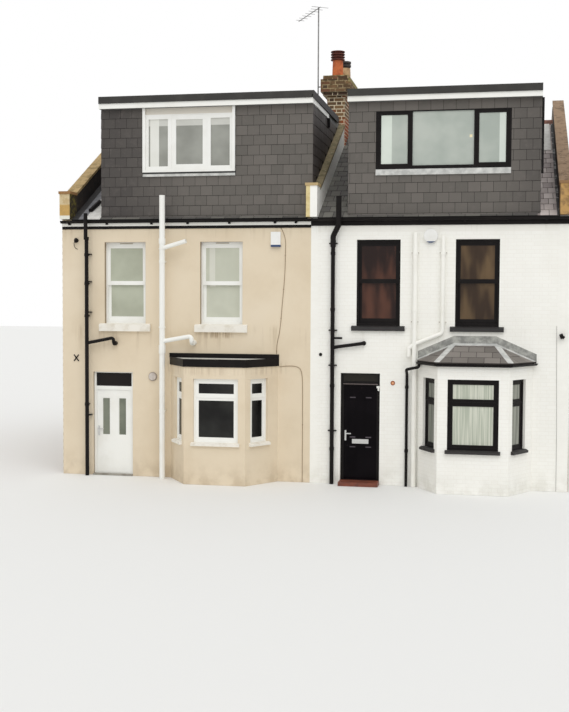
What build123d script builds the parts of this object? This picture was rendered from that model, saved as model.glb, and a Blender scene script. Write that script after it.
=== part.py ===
"""Two terraced houses seen from the garden: rendered on the left, painted brick on the right.

Millimetres.  +X runs to the right along the garden elevation, +Y into the houses, +Z up.
The origin is at ground level, on the middle party wall's centre line and its garden face.
"""

from build123d import *
import math
import os

# Plan of the pair
LEFT_HOUSE = 5335        # party wall centre to party wall centre
RIGHT_HOUSE = 5040
DEPTH = 9500             # garden face to street face
PARTY_T = 230            # one brick
WALL_T = 230

# Levels
LEFT_FLOOR_Z = 35
RIGHT_FLOOR_Z = 80
FIRST_FLOOR_Z = 2720
UPPER_STOREY = 2620      # first floor to the head of the walls
LOFT_DROP = 40           # loft floor below the head of the walls
FLOOR_T = 220

# Main roof
PITCH = 28
ROOF_T = 130
SLATE_T = 25
SLATE_OVERSAIL = 40
PARAPET_RISES = (400, 450, 450)    # masonry above the slates, measured upright: left, middle, right
STREET_PARAPET_RISE = 300
COPING_T = 62
COPING_LIP = 12
RIDGE_TILE_W = 150
RIDGE_TILE_T = 30
RIDGE_TILE_CROWN = 60

# Kneelers at the foot of each garden parapet
KNEELER_OUT = 150
KNEELER_DROP = 12        # their seat below the slates' upper surface
KNEELER_HEIGHTS = (590, 690, 660)   # left, middle and right
KNEELER_BACK = 230
KNEELER_LIP = 18
KNEELER_CAP = 55

# Dormers
DORMER_FACE = 50
DORMER_WALL_T = 180
DORMER_CHEEK_T = 150
DORMER_DROP = 223        # soffit below the ridge
DORMER_DECK_T = 170
DORMER_EAVES = 100       # how far the deck oversails the slate-hung face
LEFT_DORMER_EDGE = 638   # slate strip between the left party wall and the dormer cheek
MIDDLE_CHEEK = -18       # outer face of the cheek that stands on the party wall
RIGHT_DORMER_INSET = 607
RIGHT_DORMER_EDGE = 375
DORMER_SIDE_LAP = 12
FASCIA_T = 20
FASCIA_H = 106
FASCIA_RETURN = 2010     # where the white return along the middle cheek ends
KERB_T = 24
KERB_H = 80
KERB_W = 90

# Dormer windows
LEFT_SURROUND_X = -2650
LEFT_SURROUND_W = 2005
LEFT_SURROUND_UP = 1110  # foot of the surround above the head of the walls
SURROUND_POST = 60
SURROUND_OUT = 45        # how far the posts stand in front of the slate-hung face
SURROUND_FOOT = 50
HEAD_BOARD_H = 130
LEFT_LIGHTS = ((0.263, 0), (0.483, 1), (0.254, 0))   # share of the clear width, 1 for a casement
LEFT_LIGHT_EDGE = 122
LEFT_MULLION = 77
LEFT_MARGINS = ((125, 100), (65, 15))    # frame below and above: fixed lights, then casements
LEFT_CASEMENT_RAIL = 100
LEFT_APRON_H = 90
RIGHT_WINDOW_X = 2626
RIGHT_WINDOW_W = 2690
RIGHT_WINDOW_UP = 1090
RIGHT_WINDOW_DROP = 195  # head below the soffit
RIGHT_LIGHTS = ((0.26, 1), (0.484, 0), (0.256, 1))
RIGHT_LIGHT_EDGE = 45
RIGHT_MULLION = 40
RIGHT_MARGINS = ((67, 22), (45, 22))
RIGHT_CASEMENT_RAIL = 60
RIGHT_APRON_H = 120
APRON_OUT = 30

# Windows in the walls
FRAME_D = 70
FRAME_W = 45
GLASS_T = 24
REVEAL = 100
SASH_BOX_D = 120
SASH_T = 45
SASH_BACK = 12           # how far a sash is set back in its frame
SASH_HEAD = 60
SASH_CILL = 60
SASH_STILE = 52
SASH_TOP_RAIL = 65
SASH_BOTTOM_RAIL = 88
MEETING_RAIL = 84
LEFT_SASH_H = 1725
LEFT_SASH_UP = 542       # foot of the windows above the first floor
LEFT_MEETING = 862
LEFT_SASHES = ((-4042, 915), (-1931, 915))    # middle and width
RIGHT_SASH_H = 1748
RIGHT_SASH_UP = 544
RIGHT_MEETING = 908
RIGHT_SASHES = ((1362, 890), (3345, 868))
RIGHT_REVEAL = 50
LEFT_SILL_H = 165
LEFT_SILL_LAP = 110
RIGHT_SILL_H = 105
RIGHT_SILL_LAP = 98
SILL_OUT = 60
SILL_FALL = 26
SILL_BED_H = 40          # the part of a sill that runs back under its window
SILL_BED_LAP = 30

# Garden doors
LEAF_T = 44
DOOR_GAP = 6
LATCH_GAP = 8
STOP_T = 20
JAMB_W = 46
TRANSOM_H = 60
DOOR_FACE = 80
LEFT_DOOR_X = -4758
LEFT_DOOR_W = 885
LEFT_DOOR_HEAD = 2224
LEFT_LEAF_TOP = 1850
LEFT_LEAF_FOOT = 50
LEFT_PANE_TOP = 190      # below the top of the leaf
LEFT_PANE_H = 800
LEFT_PANE_W = 170
LEFT_MUNTIN_W = 195
BEAD = 10
RIGHT_DOOR_X = 603
RIGHT_DOOR_W = 809
RIGHT_DOOR_HEAD = 2290
RIGHT_LEAF_TOP = 2050
RIGHT_LEAF_FOOT = 100
PANEL_W = 160
PANEL_GAP = 170          # between the left and right panels
PANEL_ROWS = ((190, 670), (872, 1690))
PANEL_DEPTH = 9
PANEL_MOULD = 28
PANEL_RAISE = 6
LETTER_W = 340
LETTER_H = 92
LETTER_UP = 780          # centre of the letter plate above the foot of the leaf
LETTER_T = 9
PIN_R = 3
PIN_FIT = 0.05
KNUCKLE_R = 6
KNUCKLE_H = 30
KNUCKLE_GAP = 0.3
PIN_OUT = 8
FLAP_W = 32
FLAP_T = 3
HINGE_INSET = 200
HANDLE_UP = 940
HANDLE_L = 118
HANDLE_IN = 45           # from the latch edge of the leaf
PLATE_H = 210
PLATE_W = 34
PLATE_T = 8
LEVER_OUT = 48
LEVER_H = 22
LEVER_T = 14
STEP_OUT = 300
THRESHOLD_OUT = 40

# Bays
BAY_OUT = 780
BAY_WALL_T = 150
BAY_SILL = 870
BAY_SILL_H = 70
BAY_SILL_LAP = 40
BAY_RAIL = 56
LEFT_BAY_X = -1870
LEFT_BAY_W = 2318
LEFT_BAY_FRONT = 1290
LEFT_BAY_LIGHTS = ((490, 75), (940, 25), (490, -75))     # width, and place along each face
LEFT_BAY_HEAD = 2170
LEFT_BAY_TOP = 2410
LEFT_BAY_OVERHANG = 20
LEFT_BAY_DECK = 145
LEFT_BAY_FASCIA = 160
LEFT_BAY_UPSTAND = 95
RIGHT_BAY_X = 3313
RIGHT_BAY_W = 2282
RIGHT_BAY_FRONT = 1376
RIGHT_BAY_LIGHTS = ((500, 75), (985, 0), (500, -75))
RIGHT_BAY_HEAD = 2250
RIGHT_BAY_TOP = 2500
RIGHT_BAY_EAVES = 56     # underside of the eaves slates above the walls
RIGHT_BAY_RISE = 430     # top of the slates at the house wall above the bay walls
RIGHT_BAY_RIDGE_W = 828
RIGHT_BAY_CUT = 6        # roof held back from the left end of the bay walls
RIGHT_BAY_OVERHANG = 60
BAY_TRANSOM = 1795
BAY_TRANSOM_W = 30
BAY_BOARD_H = 75
LEAD_T = 8
LEAD_UPSTAND = 140
LEAD_DRESS = 110
HIP_LEAD_W = 130

# Rainwater goods and pipes
EAVES_BOARD_T = 22
LEFT_EAVES_BOARD_H = 116
RIGHT_EAVES_BOARD_H = 142
GUTTER_R = 56
GUTTER_WALL = 4
GUTTER_DROP = 6          # gutter rim below the eaves slates
GUTTER_JOINT = 10
PAINT_LINE = -30         # where the two houses' boards and gutters meet
BAY_GUTTER_R = 45
BAY_GUTTER_ENDS = (200, 35)   # how far its left and right ends stop from the house wall
BAY_OUTLET = 0.25        # place of its outlet along the left side
SOIL_R = 61
SOIL_BRANCH_R = 46
STACK_R = 42
STACK_BRANCH_R = 35
RAIN_R = 30
PIPE_GAP = 6             # between the gutter and a pipe that passes in front of it
PIPE_SIDES = 10
SMALL_SIDES = 8          # of hinge knuckles and the aerial's mast
COLLAR = 8
COLLAR_H = 60
COLLAR_WALL = 4          # a collar's distance from the wall
BEND = 70
SMALL_BEND = 45
BRANCH_BEND = 1.25       # radius of a branch's bend over the pipe's radius
BOSS_GAP = 4             # between a boss and the start of the bend
BOSS = 12                # how much a boss or a socket is wider than its pipe
BLACK_STACK_X = -4853
BLACK_STEP = 50          # the lower pipe stands this far behind the upper
BLACK_STACK_UP = 150     # how far each stack stands above the gutter
BLACK_CLIPS = (1500, 3389, 4075, 4687)
BLACK_SOCKETS = ((5033, 60),)        # foot and height
BLACK_BRANCH = (600, 2840, 2960, 120)    # reach to the right, foot and end heights, turn-down
SOIL_STACK_X = -3155
SOIL_STACK_UP = 505
SOIL_CLIPS = (1400, 4538)
SOIL_SOCKETS = ((2645, 175), (3180, 33), (4825, 25), (4940, 110))
SOIL_BRANCHES = ((640, 2900, 3015, 140),)
SOIL_OPEN = (520, 4845, 4995)        # the upper branch, which ends open
PIPE_WALL = 4
PIPE_BORE = 120          # depth of the bore at an open end
SWAN_STACK_X = 438
SWAN_STACK_TOP_X = 568
SWAN_TOP_R = 56
SWAN_STACK_UP = 440
SWAN_DROP = 360          # foot of the swan neck below the gutter rim
SWAN_RISE = 220
SWAN_BRANCH = (640, 2813, 2905, 0)
SWAN_STUB = (200, 3007, 22)          # reach, height and radius
PAINTED_R = 48
PAINTED_PIPE_OFF = 64    # left of the bay's left end
PAINTED_PIPE_DROP = 290  # top below the gutter rim
SECOND_PIPE_ON = 495     # right of the bay's left end
SECOND_PIPE_DROP = 360
SECOND_PIPE_FOOT = 3130
SECOND_PIPE_JOIN = 2900
OLD_BRANCH = (110, 2900, 2820, 2650)
BAY_PIPE_OFF = 207       # left of the bay's left end
BAY_PIPE_NECK = (2450, 2395, 2290)
COLLAR_HEIGHTS = (700, 2000, 3560, 4700)
DORMER_PIPE_L = 200
DORMER_PIPE_BACK = 90    # how far it stands in front of the end of the white return

# Chimney
CHIMNEY_X = -85
CHIMNEY_W = 430
CHIMNEY_AHEAD = 1150     # garden face of the stack in front of the ridge
CHIMNEY_L = 1430
CHIMNEY_BELOW = 716      # foot and top from the ridge
CHIMNEY_ABOVE = 1034
CORBELS = ((85, 90), (135, 300), (85, 75))   # oversail and height, from the top
POT_R = 134
POT_TAPER = 2
POT_WALL = 20
POT_SIDES = 18
FRONT_POT = (250, -5)    # back from the garden face, and to the right of the stack's middle
REAR_POT = (1180, 40)
FRONT_POT_H = 370
REAR_POT_H = 290
FLAUNCH_FRONT = 40
FLAUNCH_REAR = 115
LOUVRE_R = 168
LOUVRE_T = 18
LOUVRE_STEP = 62
LOUVRE_CORE_R = 110
COWL_R = 140
COWL_T = 46
COWL_STEP = 80

# Aerial
MAST_R = 16
MAST_BELOW = 480         # foot and top of the mast from the top of the stack
MAST_ABOVE = 1635
MAST_OUT = 100
BRACKET_T = 26
BOOM_R = 10
BOOM_L = 1340
BOOM_TURN = 121          # from the garden elevation round to the back
BOOM_TAIL = 110
ELEMENT_R = 5
ELEMENTS = ((-90, 420), (120, 300), (330, 250), (560, 240), (790, 230), (1020, 220), (1240, 210))

# Alarm boxes
ALARM_BOX = (-864, -662, 309)      # left, right and height
ALARM_BOX_DROP = 468     # foot below the head of the walls
ALARM_T = 60
ROUND_ALARM = (2415, 261, 140)     # place, drop below the head of the walls, radius

# Street side
STREET_DOOR_W = 900
STREET_DOOR_HEAD = 2100
STREET_DOOR_T = 50
STREET_DOOR_SET = 130
STREET_DOOR_IN = 400     # from the middle party wall's face
STREET_SASH_W = 1000
STREET_SASH_H = 1700
STREET_MEETING = 850
STREET_GROUND_FOOT = 700
STREET_SASH_UP = 580     # above the first floor

CUT = 1                  # a cutting shape runs this far past what it cuts

SLOPE = math.tan(math.radians(PITCH))
RISE = ROOF_T / math.cos(math.radians(PITCH))
SLATE_RISE = SLATE_T / math.cos(math.radians(PITCH))
WALL_HEAD = FIRST_FLOOR_Z + UPPER_STOREY
RIDGE_Y = DEPTH / 2
RIDGE_Z = WALL_HEAD + RISE + SLOPE * RIDGE_Y
EAVES_Z = WALL_HEAD + RISE
EAVES_TOP = EAVES_Z - SLOPE * EAVES_BOARD_T - SLATE_RISE - GUTTER_DROP
LEFT_X = -LEFT_HOUSE
RIGHT_X = RIGHT_HOUSE
LEFT_IN = LEFT_X + PARTY_T / 2
LEFT_OUT = -PARTY_T / 2
RIGHT_IN = PARTY_T / 2
RIGHT_OUT = RIGHT_X - PARTY_T / 2
STREET_IN = DEPTH - WALL_T
PIPE_OFF = EAVES_BOARD_T + 2 * GUTTER_R + PIPE_GAP
KNEELER_FOOT = EAVES_Z - KNEELER_DROP
PARAPETS = tuple(zip((LEFT_X, 0, RIGHT_X), PARAPET_RISES, KNEELER_HEIGHTS))
DORMER_SOFFIT = RIDGE_Z - DORMER_DROP
DECK_TOP = DORMER_SOFFIT + DORMER_DECK_T
DORMER_REACH = (DORMER_SOFFIT - EAVES_Z) / SLOPE
COPING_MEETS_SOFFIT = DORMER_REACH - (PARAPET_RISES[1] + COPING_T) / SLOPE
BAY_END_X = RIGHT_BAY_X - RIGHT_BAY_W / 2
LEFT_DORMER = (LEFT_IN + LEFT_DORMER_EDGE, MIDDLE_CHEEK)
RIGHT_DORMER = (RIGHT_IN + RIGHT_DORMER_INSET, RIGHT_OUT - RIGHT_DORMER_EDGE)
STACK_X = (CHIMNEY_X - CHIMNEY_W / 2, CHIMNEY_X + CHIMNEY_W / 2)
STACK_Y = (RIDGE_Y - CHIMNEY_AHEAD, RIDGE_Y - CHIMNEY_AHEAD + CHIMNEY_L)
CHIMNEY_TOP = RIDGE_Z + CHIMNEY_ABOVE


def slate_line(y):
    """Height of the slates' upper surface at a distance from the garden face."""
    return EAVES_Z + SLOPE * (y if y <= RIDGE_Y else DEPTH - y)


def box(x0, x1, y0, y1, z0, z1):
    """A box between two corners."""
    return Pos((x0 + x1) / 2, (y0 + y1) / 2, (z0 + z1) / 2) * Box(x1 - x0, y1 - y0, z1 - z0)


def ring(x0, x1, y0, y1, z0, z1, side, head, foot):
    """An upright rectangular frame with stiles and two rails."""
    return box(x0, x1, y0, y1, z0, z1) - box(x0 + side, x1 - side, y0 - CUT, y1 + CUT, z0 + foot, z1 - head)


def prism_x(points, x0, x1):
    """A profile drawn in Y and Z, run from x0 to x1."""
    face = Plane.YZ * make_face(Polyline(*points, close=True))
    return Pos(x0, 0, 0) * extrude(face, x1 - x0)


def prism_z(points, z0, z1):
    """A plan drawn in X and Y, run up from z0 to z1."""
    return Pos(0, 0, z0) * extrude(make_face(Polyline(*points, close=True)), z1 - z0)


def post(x, y, z, radius, length, sides=PIPE_SIDES, rot=(0, 0, 0)):
    """A many-sided bar that starts at a point and runs up before it is turned."""
    return Pos(x, y, z) * Rot(*rot) * extrude(RegularPolygon(radius, sides), length)


def pipe(points, radius, bend):
    """A pipe along straight runs with arcs at the corners."""
    if len(points) == 2:
        path = Line(*points)
    else:
        path = FilletPolyline(*points, radius=bend)
    return sweep(Plane(path @ 0, z_dir=path % 0) * RegularPolygon(radius, PIPE_SIDES), path)


def collars(x, y, radius, heights):
    """Pipe collars, each with a lug that reaches back to the wall."""
    rings = []
    for z in heights:
        lug = box(x - radius / 2, x + radius / 2, y, 0, z + COLLAR_H / 3, z + COLLAR_H * 2 / 3)
        rings.append(post(x, y, z, radius + COLLAR, COLLAR_H) + lug)
    return rings


def sockets(x, y, radius, rings):
    """Wider rings on a pipe, each a foot and a height."""
    return [post(x, y, foot, radius + BOSS, height) for foot, height in rings]


def joined(solids):
    """One solid fused from several that meet."""
    whole = solids[0]
    for piece in solids[1:]:
        whole = whole + piece
    return whole


def write(name, *shapes):
    """Write one named sub-part."""
    solids = [s for shape in shapes for s in shape.solids()]
    export_step(Compound(children=solids), f"parts/{name}.step")


def party_wall(centre, rise, kneeler_h, x_low, x_high):
    """A party wall up to the slates, with a garden parapet between x_low and x_high."""
    x0 = centre - PARTY_T / 2
    x1 = centre + PARTY_T / 2
    wall = prism_x([(0, 0), (DEPTH, 0), (DEPTH, EAVES_Z), (RIDGE_Y, RIDGE_Z), (0, EAVES_Z)], x0, x1)
    garden = [
        (KNEELER_BACK, slate_line(KNEELER_BACK) - RISE),
        (KNEELER_BACK, slate_line(KNEELER_BACK) + rise),
        (RIDGE_Y, RIDGE_Z + rise),
        (RIDGE_Y, RIDGE_Z - RISE),
    ]
    street = [
        (RIDGE_Y, RIDGE_Z - RISE),
        (RIDGE_Y, RIDGE_Z + STREET_PARAPET_RISE),
        (DEPTH, EAVES_Z + STREET_PARAPET_RISE),
        (DEPTH, EAVES_Z - RISE),
    ]
    wall = wall + prism_x(garden, x_low, x_high) + prism_x(street, x0, x1)
    seat = box(x0 - CUT, x1 + CUT, -CUT, KNEELER_BACK, KNEELER_FOOT, KNEELER_FOOT + kneeler_h)
    return wall - seat


def coping(x_low, x_high, y0, y1, rise):
    """A raking stone coping laid on a parapet."""
    points = [
        (y0, slate_line(y0) + rise),
        (y1, slate_line(y1) + rise),
        (y1, slate_line(y1) + rise + COPING_T),
        (y0, slate_line(y0) + rise + COPING_T),
    ]
    return prism_x(points, x_low - COPING_LIP, x_high + COPING_LIP)


def kneeler(centre, height):
    """A square block that ends a parapet over the eaves, with a thin cap."""
    x0 = centre - PARTY_T / 2
    x1 = centre + PARTY_T / 2
    top = KNEELER_FOOT + height
    body = box(x0, x1, -KNEELER_OUT, KNEELER_BACK, KNEELER_FOOT, top - KNEELER_CAP)
    cap = box(
        x0 - KNEELER_LIP, x1 + KNEELER_LIP,
        -KNEELER_OUT - KNEELER_LIP, KNEELER_BACK,
        top - KNEELER_CAP, top,
    )
    return body + cap


def garden_slope(x0, x1):
    """The garden roof slope with its eaves slates over the gutter."""
    points = [
        (RIDGE_Y, RIDGE_Z),
        (RIDGE_Y, RIDGE_Z - RISE),
        (0, EAVES_Z - RISE),
        (0, EAVES_Z - SLATE_RISE),
        (-SLATE_OVERSAIL, slate_line(-SLATE_OVERSAIL) - SLATE_RISE),
        (-SLATE_OVERSAIL, slate_line(-SLATE_OVERSAIL)),
    ]
    return prism_x(points, x0, x1)


def street_slope(x0, x1):
    """The whole street slope of one house."""
    edge = DEPTH + SLATE_OVERSAIL
    points = [
        (RIDGE_Y, RIDGE_Z),
        (edge, slate_line(edge)),
        (edge, slate_line(edge) - SLATE_RISE),
        (DEPTH, EAVES_Z - SLATE_RISE),
        (DEPTH, EAVES_Z - RISE),
        (RIDGE_Y, RIDGE_Z - RISE),
    ]
    return prism_x(points, x0, x1)


def pane(x0, x1, y, z0, z1):
    """A sealed pane about a middle plane."""
    return box(x0, x1, y - GLASS_T / 2, y + GLASS_T / 2, z0, z1)


def sash_window(centre, width, foot, height, meeting, y0):
    """A double-hung window: box frame, upper sash in front and lower sash behind."""
    x0 = centre - width / 2 + FRAME_W
    x1 = centre + width / 2 - FRAME_W
    top = foot + height
    frame = ring(
        x0 - FRAME_W, x1 + FRAME_W, y0, y0 + SASH_BOX_D, foot, top, FRAME_W, SASH_HEAD, SASH_CILL
    )
    front = y0 + SASH_BACK
    line = foot + meeting
    low = line - MEETING_RAIL / 2
    high = line + MEETING_RAIL / 2
    upper = ring(
        x0, x1, front, front + SASH_T, low, top - SASH_HEAD, SASH_STILE, SASH_TOP_RAIL, MEETING_RAIL
    )
    lower = ring(
        x0, x1, front + SASH_T, front + 2 * SASH_T, foot + SASH_CILL, high,
        SASH_STILE, MEETING_RAIL, SASH_BOTTOM_RAIL,
    )
    glass = [
        pane(x0 + SASH_STILE, x1 - SASH_STILE, front + SASH_T / 2,
             high, top - SASH_HEAD - SASH_TOP_RAIL),
        pane(x0 + SASH_STILE, x1 - SASH_STILE, front + SASH_T * 3 / 2,
             foot + SASH_CILL + SASH_BOTTOM_RAIL, low),
    ]
    return frame + upper + lower, glass


def lights_window(x0, x1, y0, z0, z1, lights, rail):
    """A frame with lights; a light marked 1 has a casement of its own."""
    frame = box(x0, x1, y0, y0 + FRAME_D, z0, z1)
    glass = []
    for a, b, low, high, opens in lights:
        frame = frame - box(a, b, y0 - CUT, y0 + FRAME_D + CUT, low, high)
        inset = 0
        if opens:
            inset = rail
            casement = ring(a, b, y0 + SASH_BACK, y0 + FRAME_D - SASH_BACK, low, high, rail, rail, rail)
            frame = frame + casement
        glass.append(pane(a + inset, b - inset, y0 + FRAME_D / 2, low + inset, high - inset))
    return frame, glass


def light_row(x0, x1, edge, mullion, shares, margins, foot, top):
    """A row of lights shared out over a window's width, with the frame below and above each."""
    clear = x1 - x0 - 2 * edge - mullion * (len(shares) - 1)
    row = []
    left = x0 + edge
    for share, opens in shares:
        below, above = margins[opens]
        row.append((left, left + share * clear, foot + below, top - above, opens))
        left += share * clear + mullion
    return row


def sill_bed(centre, width, foot, face, depth):
    """The part of a sill that runs back from a face under its window."""
    y0, y1 = sorted((face, face + depth))
    return box(centre - width / 2, centre + width / 2, y0, y1, foot - SILL_BED_H, foot)


def sill(centre, width, lap, foot, height, face, out, depth):
    """A stone sill with a weathered top; out is its reach from a face and depth that of its bed."""
    points = [
        (face, foot),
        (face + out, foot - SILL_FALL),
        (face + out, foot - height),
        (face, foot - height),
    ]
    nose = prism_x(points, centre - width / 2 - lap, centre + width / 2 + lap)
    return nose + sill_bed(centre, width, foot, face, depth)


def bay_plan(centre, width, front, out, inset):
    """The four plan points of a canted bay, set in by a wall's thickness."""
    run = (width - front) / 2
    lean = run / BAY_OUT
    shift = inset * math.hypot(run, BAY_OUT) / BAY_OUT
    half = width / 2 - shift
    depth = out - inset
    return [
        (centre - half, 0),
        (centre - half + lean * depth, -depth),
        (centre + half - lean * depth, -depth),
        (centre + half, 0),
    ]


def on_face(start, end):
    """A place at the middle of a wall face: X along the face, Y into the house."""
    angle = math.degrees(math.atan2(end[1] - start[1], end[0] - start[0]))
    return Pos((start[0] + end[0]) / 2, (start[1] + end[1]) / 2, 0) * Rot(0, 0, angle)


def bay(centre, width, front, openings, head, top):
    """Walls, window frames, panes and sills of a canted bay."""
    outer = bay_plan(centre, width, front, BAY_OUT, 0)
    inner = bay_plan(centre, width, front, BAY_OUT, BAY_WALL_T)
    walls = prism_z(outer, 0, top) - prism_z(inner, -CUT, top + CUT)
    frames = []
    panes = []
    sills = []
    for k, (wide, along) in enumerate(openings):
        place = on_face(outer[k], outer[k + 1]) * Pos(along, 0, 0)
        half = wide / 2
        depth = REVEAL / 2 + SILL_BED_LAP
        walls = walls - place * box(-half, half, -CUT, BAY_WALL_T + CUT, BAY_SILL, head)
        walls = walls - place * sill_bed(0, wide, BAY_SILL, 0, depth)
        inside = half - FRAME_W
        lights = [
            (-inside, inside, BAY_SILL + FRAME_W, BAY_TRANSOM - BAY_TRANSOM_W / 2, 1),
            (-inside, inside, BAY_TRANSOM + BAY_TRANSOM_W / 2, head - FRAME_W, 1),
        ]
        frame, glass = lights_window(-half, half, REVEAL / 2, BAY_SILL, head, lights, BAY_RAIL)
        frames.append(place * frame)
        panes += [place * sheet for sheet in glass]
        sills.append(place * sill(0, wide, BAY_SILL_LAP, BAY_SILL, BAY_SILL_H, 0, -SILL_OUT, depth))
    return walls, frames, panes, sills


def door_frame(x0, width, head, leaf_top, leaf_foot, floor_z):
    """Jambs, stops, threshold and transom of a garden door, with its fixed light."""
    x1 = x0 + width
    y0 = DOOR_FACE - STOP_T
    y1 = DOOR_FACE + LEAF_T
    bar = leaf_top + DOOR_GAP
    foot = leaf_foot - DOOR_GAP
    clear = JAMB_W + STOP_T
    frame = box(x0, x1, y0, y1, floor_z, head)
    frame = frame - box(x0 + JAMB_W, x1 - JAMB_W, DOOR_FACE - DOOR_GAP, y1 + CUT, foot, bar)
    frame = frame - box(x0 + clear, x1 - clear, y0 - CUT, y1 + CUT, foot, bar - STOP_T)
    light = (x0 + JAMB_W, x1 - JAMB_W, bar + TRANSOM_H, head - JAMB_W / 2)
    frame = frame - box(light[0], light[1], y0 - CUT, y1 + CUT, light[2], light[3])
    return frame, pane(light[0], light[1], (y0 + y1) / 2, light[2], light[3])


def leaf_blank(x0, width, leaf_top, leaf_foot):
    """A plain door leaf and its two edges: latch on the left, hinges on the right."""
    latch = x0 + JAMB_W + LATCH_GAP
    hung = x0 + width - JAMB_W - DOOR_GAP
    return box(latch, hung, DOOR_FACE, DOOR_FACE + LEAF_T, leaf_foot, leaf_top), latch, hung


def glazed_leaf(x0, width, leaf_top, leaf_foot):
    """A door leaf with two tall panes behind beads."""
    leaf, latch, hung = leaf_blank(x0, width, leaf_top, leaf_foot)
    middle = (latch + hung) / 2
    top = leaf_top - LEFT_PANE_TOP
    glass = []
    for side in (-1, 1):
        inner = middle + side * LEFT_MUNTIN_W / 2
        a, b = sorted((inner, inner + side * LEFT_PANE_W))
        leaf = leaf - box(a, b, DOOR_FACE - CUT, DOOR_FACE + LEAF_T + CUT, top - LEFT_PANE_H, top)
        bead = ring(a, b, DOOR_FACE + BEAD, DOOR_FACE + LEAF_T - BEAD, top - LEFT_PANE_H, top,
                    BEAD, BEAD, BEAD)
        leaf = leaf + bead
        glass.append(pane(a + BEAD, b - BEAD, DOOR_FACE + LEAF_T / 2,
                          top - LEFT_PANE_H + BEAD, top - BEAD))
    return leaf, glass, latch, hung


def panelled_leaf(x0, width, leaf_top, leaf_foot):
    """A door leaf with four moulded panels on each face."""
    leaf, latch, hung = leaf_blank(x0, width, leaf_top, leaf_foot)
    middle = (latch + hung) / 2
    for side in (-1, 1):
        a, b = sorted((middle + side * PANEL_GAP / 2, middle + side * (PANEL_GAP / 2 + PANEL_W)))
        for foot, top in PANEL_ROWS:
            low = leaf_foot + foot
            high = leaf_foot + top
            for face, inward in ((DOOR_FACE, 1), (DOOR_FACE + LEAF_T, -1)):
                y0, y1 = sorted((face - inward, face + inward * PANEL_DEPTH))
                groove = ring(a, b, y0, y1, low, high, PANEL_MOULD, PANEL_MOULD, PANEL_MOULD)
                leaf = leaf - groove
    return leaf, latch, hung


def lever_handle(latch, z, face, side):
    """A lever on its plate; side is -1 on the garden face and 1 indoors."""
    x = latch + HANDLE_IN
    reach = side * LEVER_OUT

    def upright(x0, x1, far, near, z0, z1):
        y0, y1 = sorted((face + far, face + near))
        return box(x0, x1, y0, y1, z0, z1)

    plate = upright(x - PLATE_W / 2, x + PLATE_W / 2, side * PLATE_T, 0, z - PLATE_H * 0.7, z + PLATE_H * 0.3)
    neck = upright(x - LEVER_H / 2, x + LEVER_H / 2, reach, 0, z - LEVER_H / 2, z + LEVER_H / 2)
    lever = upright(x - LEVER_H / 2, x + HANDLE_L, reach, reach - side * LEVER_T,
                    z - LEVER_H / 2, z + LEVER_H / 2)
    return joined([plate, neck, lever])


def hinges(pin_x, foot, top):
    """Three butt hinges: fixed knuckles with their pins, and the knuckles that turn."""
    face = DOOR_FACE + LEAF_T
    y = face + PIN_OUT
    sides = SMALL_SIDES
    flat = math.cos(math.pi / sides)
    fixed = []
    turning = []
    low = foot + HINGE_INSET
    high = top - HINGE_INSET
    step = KNUCKLE_H + KNUCKLE_GAP
    for z in (low, (low + high) / 2, high):
        pair = []
        for base in (z - step, z + step):
            flap = box(pin_x, pin_x + FLAP_W, face, face + FLAP_T, base, base + KNUCKLE_H)
            pair.append(post(pin_x, y, base, KNUCKLE_R, KNUCKLE_H, sides) + flap)
        pin = post(pin_x, y, z - step, PIN_R, 2 * step + KNUCKLE_H, sides)
        fixed.append(pair[0] + pair[1] + pin)
        flap = box(pin_x - FLAP_W, pin_x, face, face + FLAP_T, z, z + KNUCKLE_H)
        bore = post(pin_x, y, z - CUT, (PIN_R + PIN_FIT) / flat, KNUCKLE_H + 2 * CUT, sides)
        turning.append(post(pin_x, y, z, KNUCKLE_R, KNUCKLE_H, sides) + flap - bore)
    return fixed, turning


def half_round(x0, x1, y, top, radius):
    """A solid half cylinder along X with its flat side up."""
    section = Circle(radius) & (Pos(0, -radius / 2) * Rectangle(2 * radius, radius))
    return Pos(x0, y, top) * extrude(Plane.YZ * section, x1 - x0)


def gutter(x0, x1, y, top):
    """A half-round gutter with stop ends."""
    bore = half_round(x0 + GUTTER_WALL, x1 - GUTTER_WALL, y, top, GUTTER_R - GUTTER_WALL)
    return half_round(x0, x1, y, top, GUTTER_R) - bore


def mitred_gutter(plan, top, radius, wall):
    """A half-round gutter that follows a bay's three faces, mitred at the corners."""
    ends = [
        tuple(p + (q - p) * end / math.dist(plan[k], plan[m]) for p, q in zip(plan[k], plan[m]))
        for end, k, m in zip(BAY_GUTTER_ENDS, (0, 3), (1, 2))
    ]
    path = Polyline((*ends[0], top), (*plan[1], top), (*plan[2], top), (*ends[1], top))
    start = Plane(path @ 0, x_dir=(0, 0, 1), z_dir=path % 0)

    def trough(r):
        half = Circle(r) & (Pos(-r / 2, 0) * Rectangle(r, 2 * r))
        return sweep(start * half, path, transition=Transition.RIGHT)

    return trough(radius) - trough(radius - wall)


os.makedirs("parts", exist_ok=True)
panes = []
leads = []

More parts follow.
